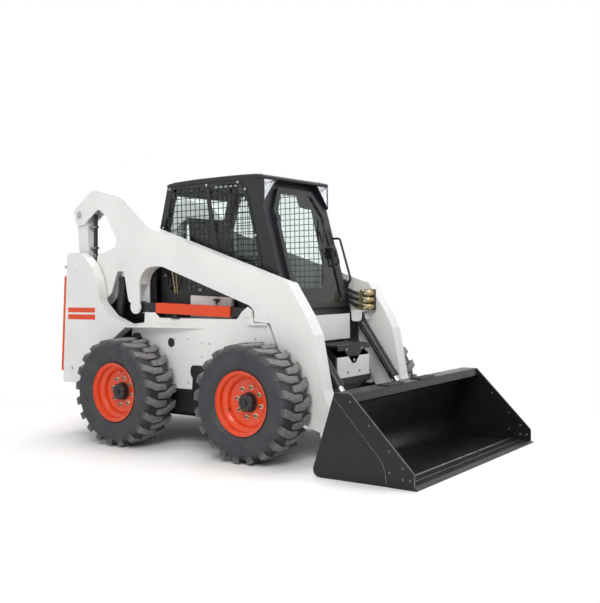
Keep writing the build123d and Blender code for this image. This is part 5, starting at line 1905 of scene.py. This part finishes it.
# ---------------------------------------------------------------- studio
@dataclass(frozen=True)
class Studio:
    """White floor, soft lamps and the camera.

    Attributes:
        camera_at: place of the camera.
        yaw: turn of the view to the left of +Y, in degrees.
        pitch: degrees that the view dips.
        roll: degrees that the view leans.
        lens: focal length in millimetres.
        floor_reach: radius of the floor.
        fade: distances at which the floor starts and ends to turn white.
    """

    camera_at: tuple[float, float, float] = (4.1892, -5.4935, 1.2387)
    yaw: float = 35.664
    pitch: float = 1.169
    roll: float = -0.716
    lens: float = 51.97
    floor_reach: float = 40.0
    fade: tuple[float, float] = (2.0, 4.0)

    def camera(self) -> None:
        """Places the camera and makes it the scene's own."""
        yaw, pitch, roll = (math.radians(v) for v in (self.yaw, self.pitch, self.roll))
        ahead = Vector((-math.sin(yaw) * math.cos(pitch), math.cos(yaw) * math.cos(pitch),
                        -math.sin(pitch)))
        right = ahead.cross(UP).normalized()
        up = right.cross(ahead)
        side = right * math.cos(roll) + up * math.sin(roll)
        top = up * math.cos(roll) - right * math.sin(roll)
        turn = Matrix((side, top, -ahead)).transposed().to_4x4()
        data = bpy.data.cameras.new("studio_camera")
        data.lens = self.lens
        data.clip_end = 200.0
        camera = bpy.data.objects.new("studio_camera", data)
        camera.matrix_world = Matrix.Translation(self.camera_at) @ turn
        bpy.context.scene.collection.objects.link(camera)
        bpy.context.scene.camera = camera

    def floor(self) -> None:
        """Lays a white floor that fades into the background with distance."""
        mesh = bpy.data.meshes.new("studio_floor")
        shape = bmesh.new()
        bmesh.ops.create_circle(shape, cap_ends=True, radius=self.floor_reach, segments=96)
        shape.to_mesh(mesh)
        shape.free()
        material = bpy.data.materials.new("studio floor")
        material.use_nodes = True
        graph = Graph(material.node_tree)
        place = graph.object_coordinates()
        away = graph.add("ShaderNodeVectorMath", {0: place}, operation="LENGTH").outputs["Value"]
        fade = graph.ramp(away, [(self.fade[0], 0.0), (self.fade[1], 1.0)])
        grain = graph.ramp(graph.noise(3.0, 4.0, place), [(0.3, 0.0), (0.7, 1.0)])
        lit = graph.add("ShaderNodeBsdfPrincipled", {
            "Base Color": graph.mix(grain, (0.86, 0.855, 0.85), (0.88, 0.88, 0.88)),
            "Roughness": 0.6})
        glow = graph.add("ShaderNodeEmission", {"Color": (1, 1, 1, 1), "Strength": 1.0})
        camera_ray = graph.add("ShaderNodeLightPath").outputs["Is Camera Ray"]
        share = graph.math("MULTIPLY", camera_ray, fade)
        both = graph.add("ShaderNodeMixShader", {0: share, 1: lit.outputs[0],
                                                 2: glow.outputs[0]})
        graph.add("ShaderNodeOutputMaterial", {"Surface": both.outputs[0]})
        mesh.materials.append(material)
        floor = bpy.data.objects.new("studio_floor", mesh)
        bpy.context.scene.collection.objects.link(floor)

    def lamp(self, name: str, at: tuple, size: float, power: float, colour: tuple) -> None:
        """Hangs one square lamp that looks at the machine.

        Args:
            name: the lamp's name.
            at: its place.
            size: edge of the lamp.
            power: watts.
            colour: light colour.
        """
        data = bpy.data.lights.new(name, "AREA")
        data.shape = "SQUARE"
        data.size = size
        data.energy = power
        data.color = colour
        lamp = bpy.data.objects.new(name, data)
        look = Vector((0.0, 0.0, 0.8)) - Vector(at)
        lamp.matrix_world = (Matrix.Translation(at)
                             @ look.to_track_quat("-Z", "Y").to_matrix().to_4x4())
        bpy.context.scene.collection.objects.link(lamp)

    def world(self) -> None:
        """Lights the room with an even pale sky, white where the camera sees it."""
        world = bpy.data.worlds.new("studio_sky")
        world.use_nodes = True
        graph = Graph(world.node_tree)
        path = graph.add("ShaderNodeLightPath")
        seen = graph.math("MAXIMUM", path.outputs["Is Camera Ray"],
                          graph.math("MAXIMUM", path.outputs["Is Glossy Ray"],
                                     path.outputs["Is Transmission Ray"]))
        power = graph.ramp(seen, [(0.0, 0.46), (1.0, 1.0)])
        sky = graph.add("ShaderNodeBackground", {"Color": (1, 1, 1, 1), "Strength": power})
        graph.add("ShaderNodeOutputWorld", {"Surface": sky.outputs[0]})
        bpy.context.scene.world = world

    def build(self) -> None:
        """Sets the whole studio up."""
        self.camera()
        self.floor()
        self.world()
        self.lamp("key_lamp", (3.5, -6.0, 6.5), 4.0, 385.0, (1.0, 0.99, 0.97))
        self.lamp("top_lamp", (-1.0, 1.0, 7.0), 5.0, 365.0, (1.0, 1.0, 1.0))
        self.lamp("front_lamp", (7.5, 2.0, 3.5), 3.0, 75.0, (0.95, 0.97, 1.0))
        bpy.context.scene.view_settings.view_transform = "Standard"


def main() -> None:
    """Builds the machine's finishes and fittings and the studio round it."""
    logging.basicConfig(level=logging.INFO, format="%(name)s: %(message)s")
    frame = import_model()
    finishes = Finishes()
    Studio().build()
    LOG.info("studio ready")
    finishes.dress(frame)
    LOG.info("%d nodes dressed", len(frame["nodes"]))
    shop = Workshop(frame, finishes)
    for name, valve in (("rear_right", 78), ("rear_left", 250), ("front_right", 200),
                        ("front_left", 20)):
        Wheel(name, valve).build(shop)
    for group in (SideTrim(), ArmSupport(), Hydraulics(), CabTrim(), Seat(), BucketTrim(),
                  FrameTrim(), EngineBay()):
        group.build(shop)
    LOG.info("%d pieces fitted", shop.count)


if __name__ == "__main__":
    main()
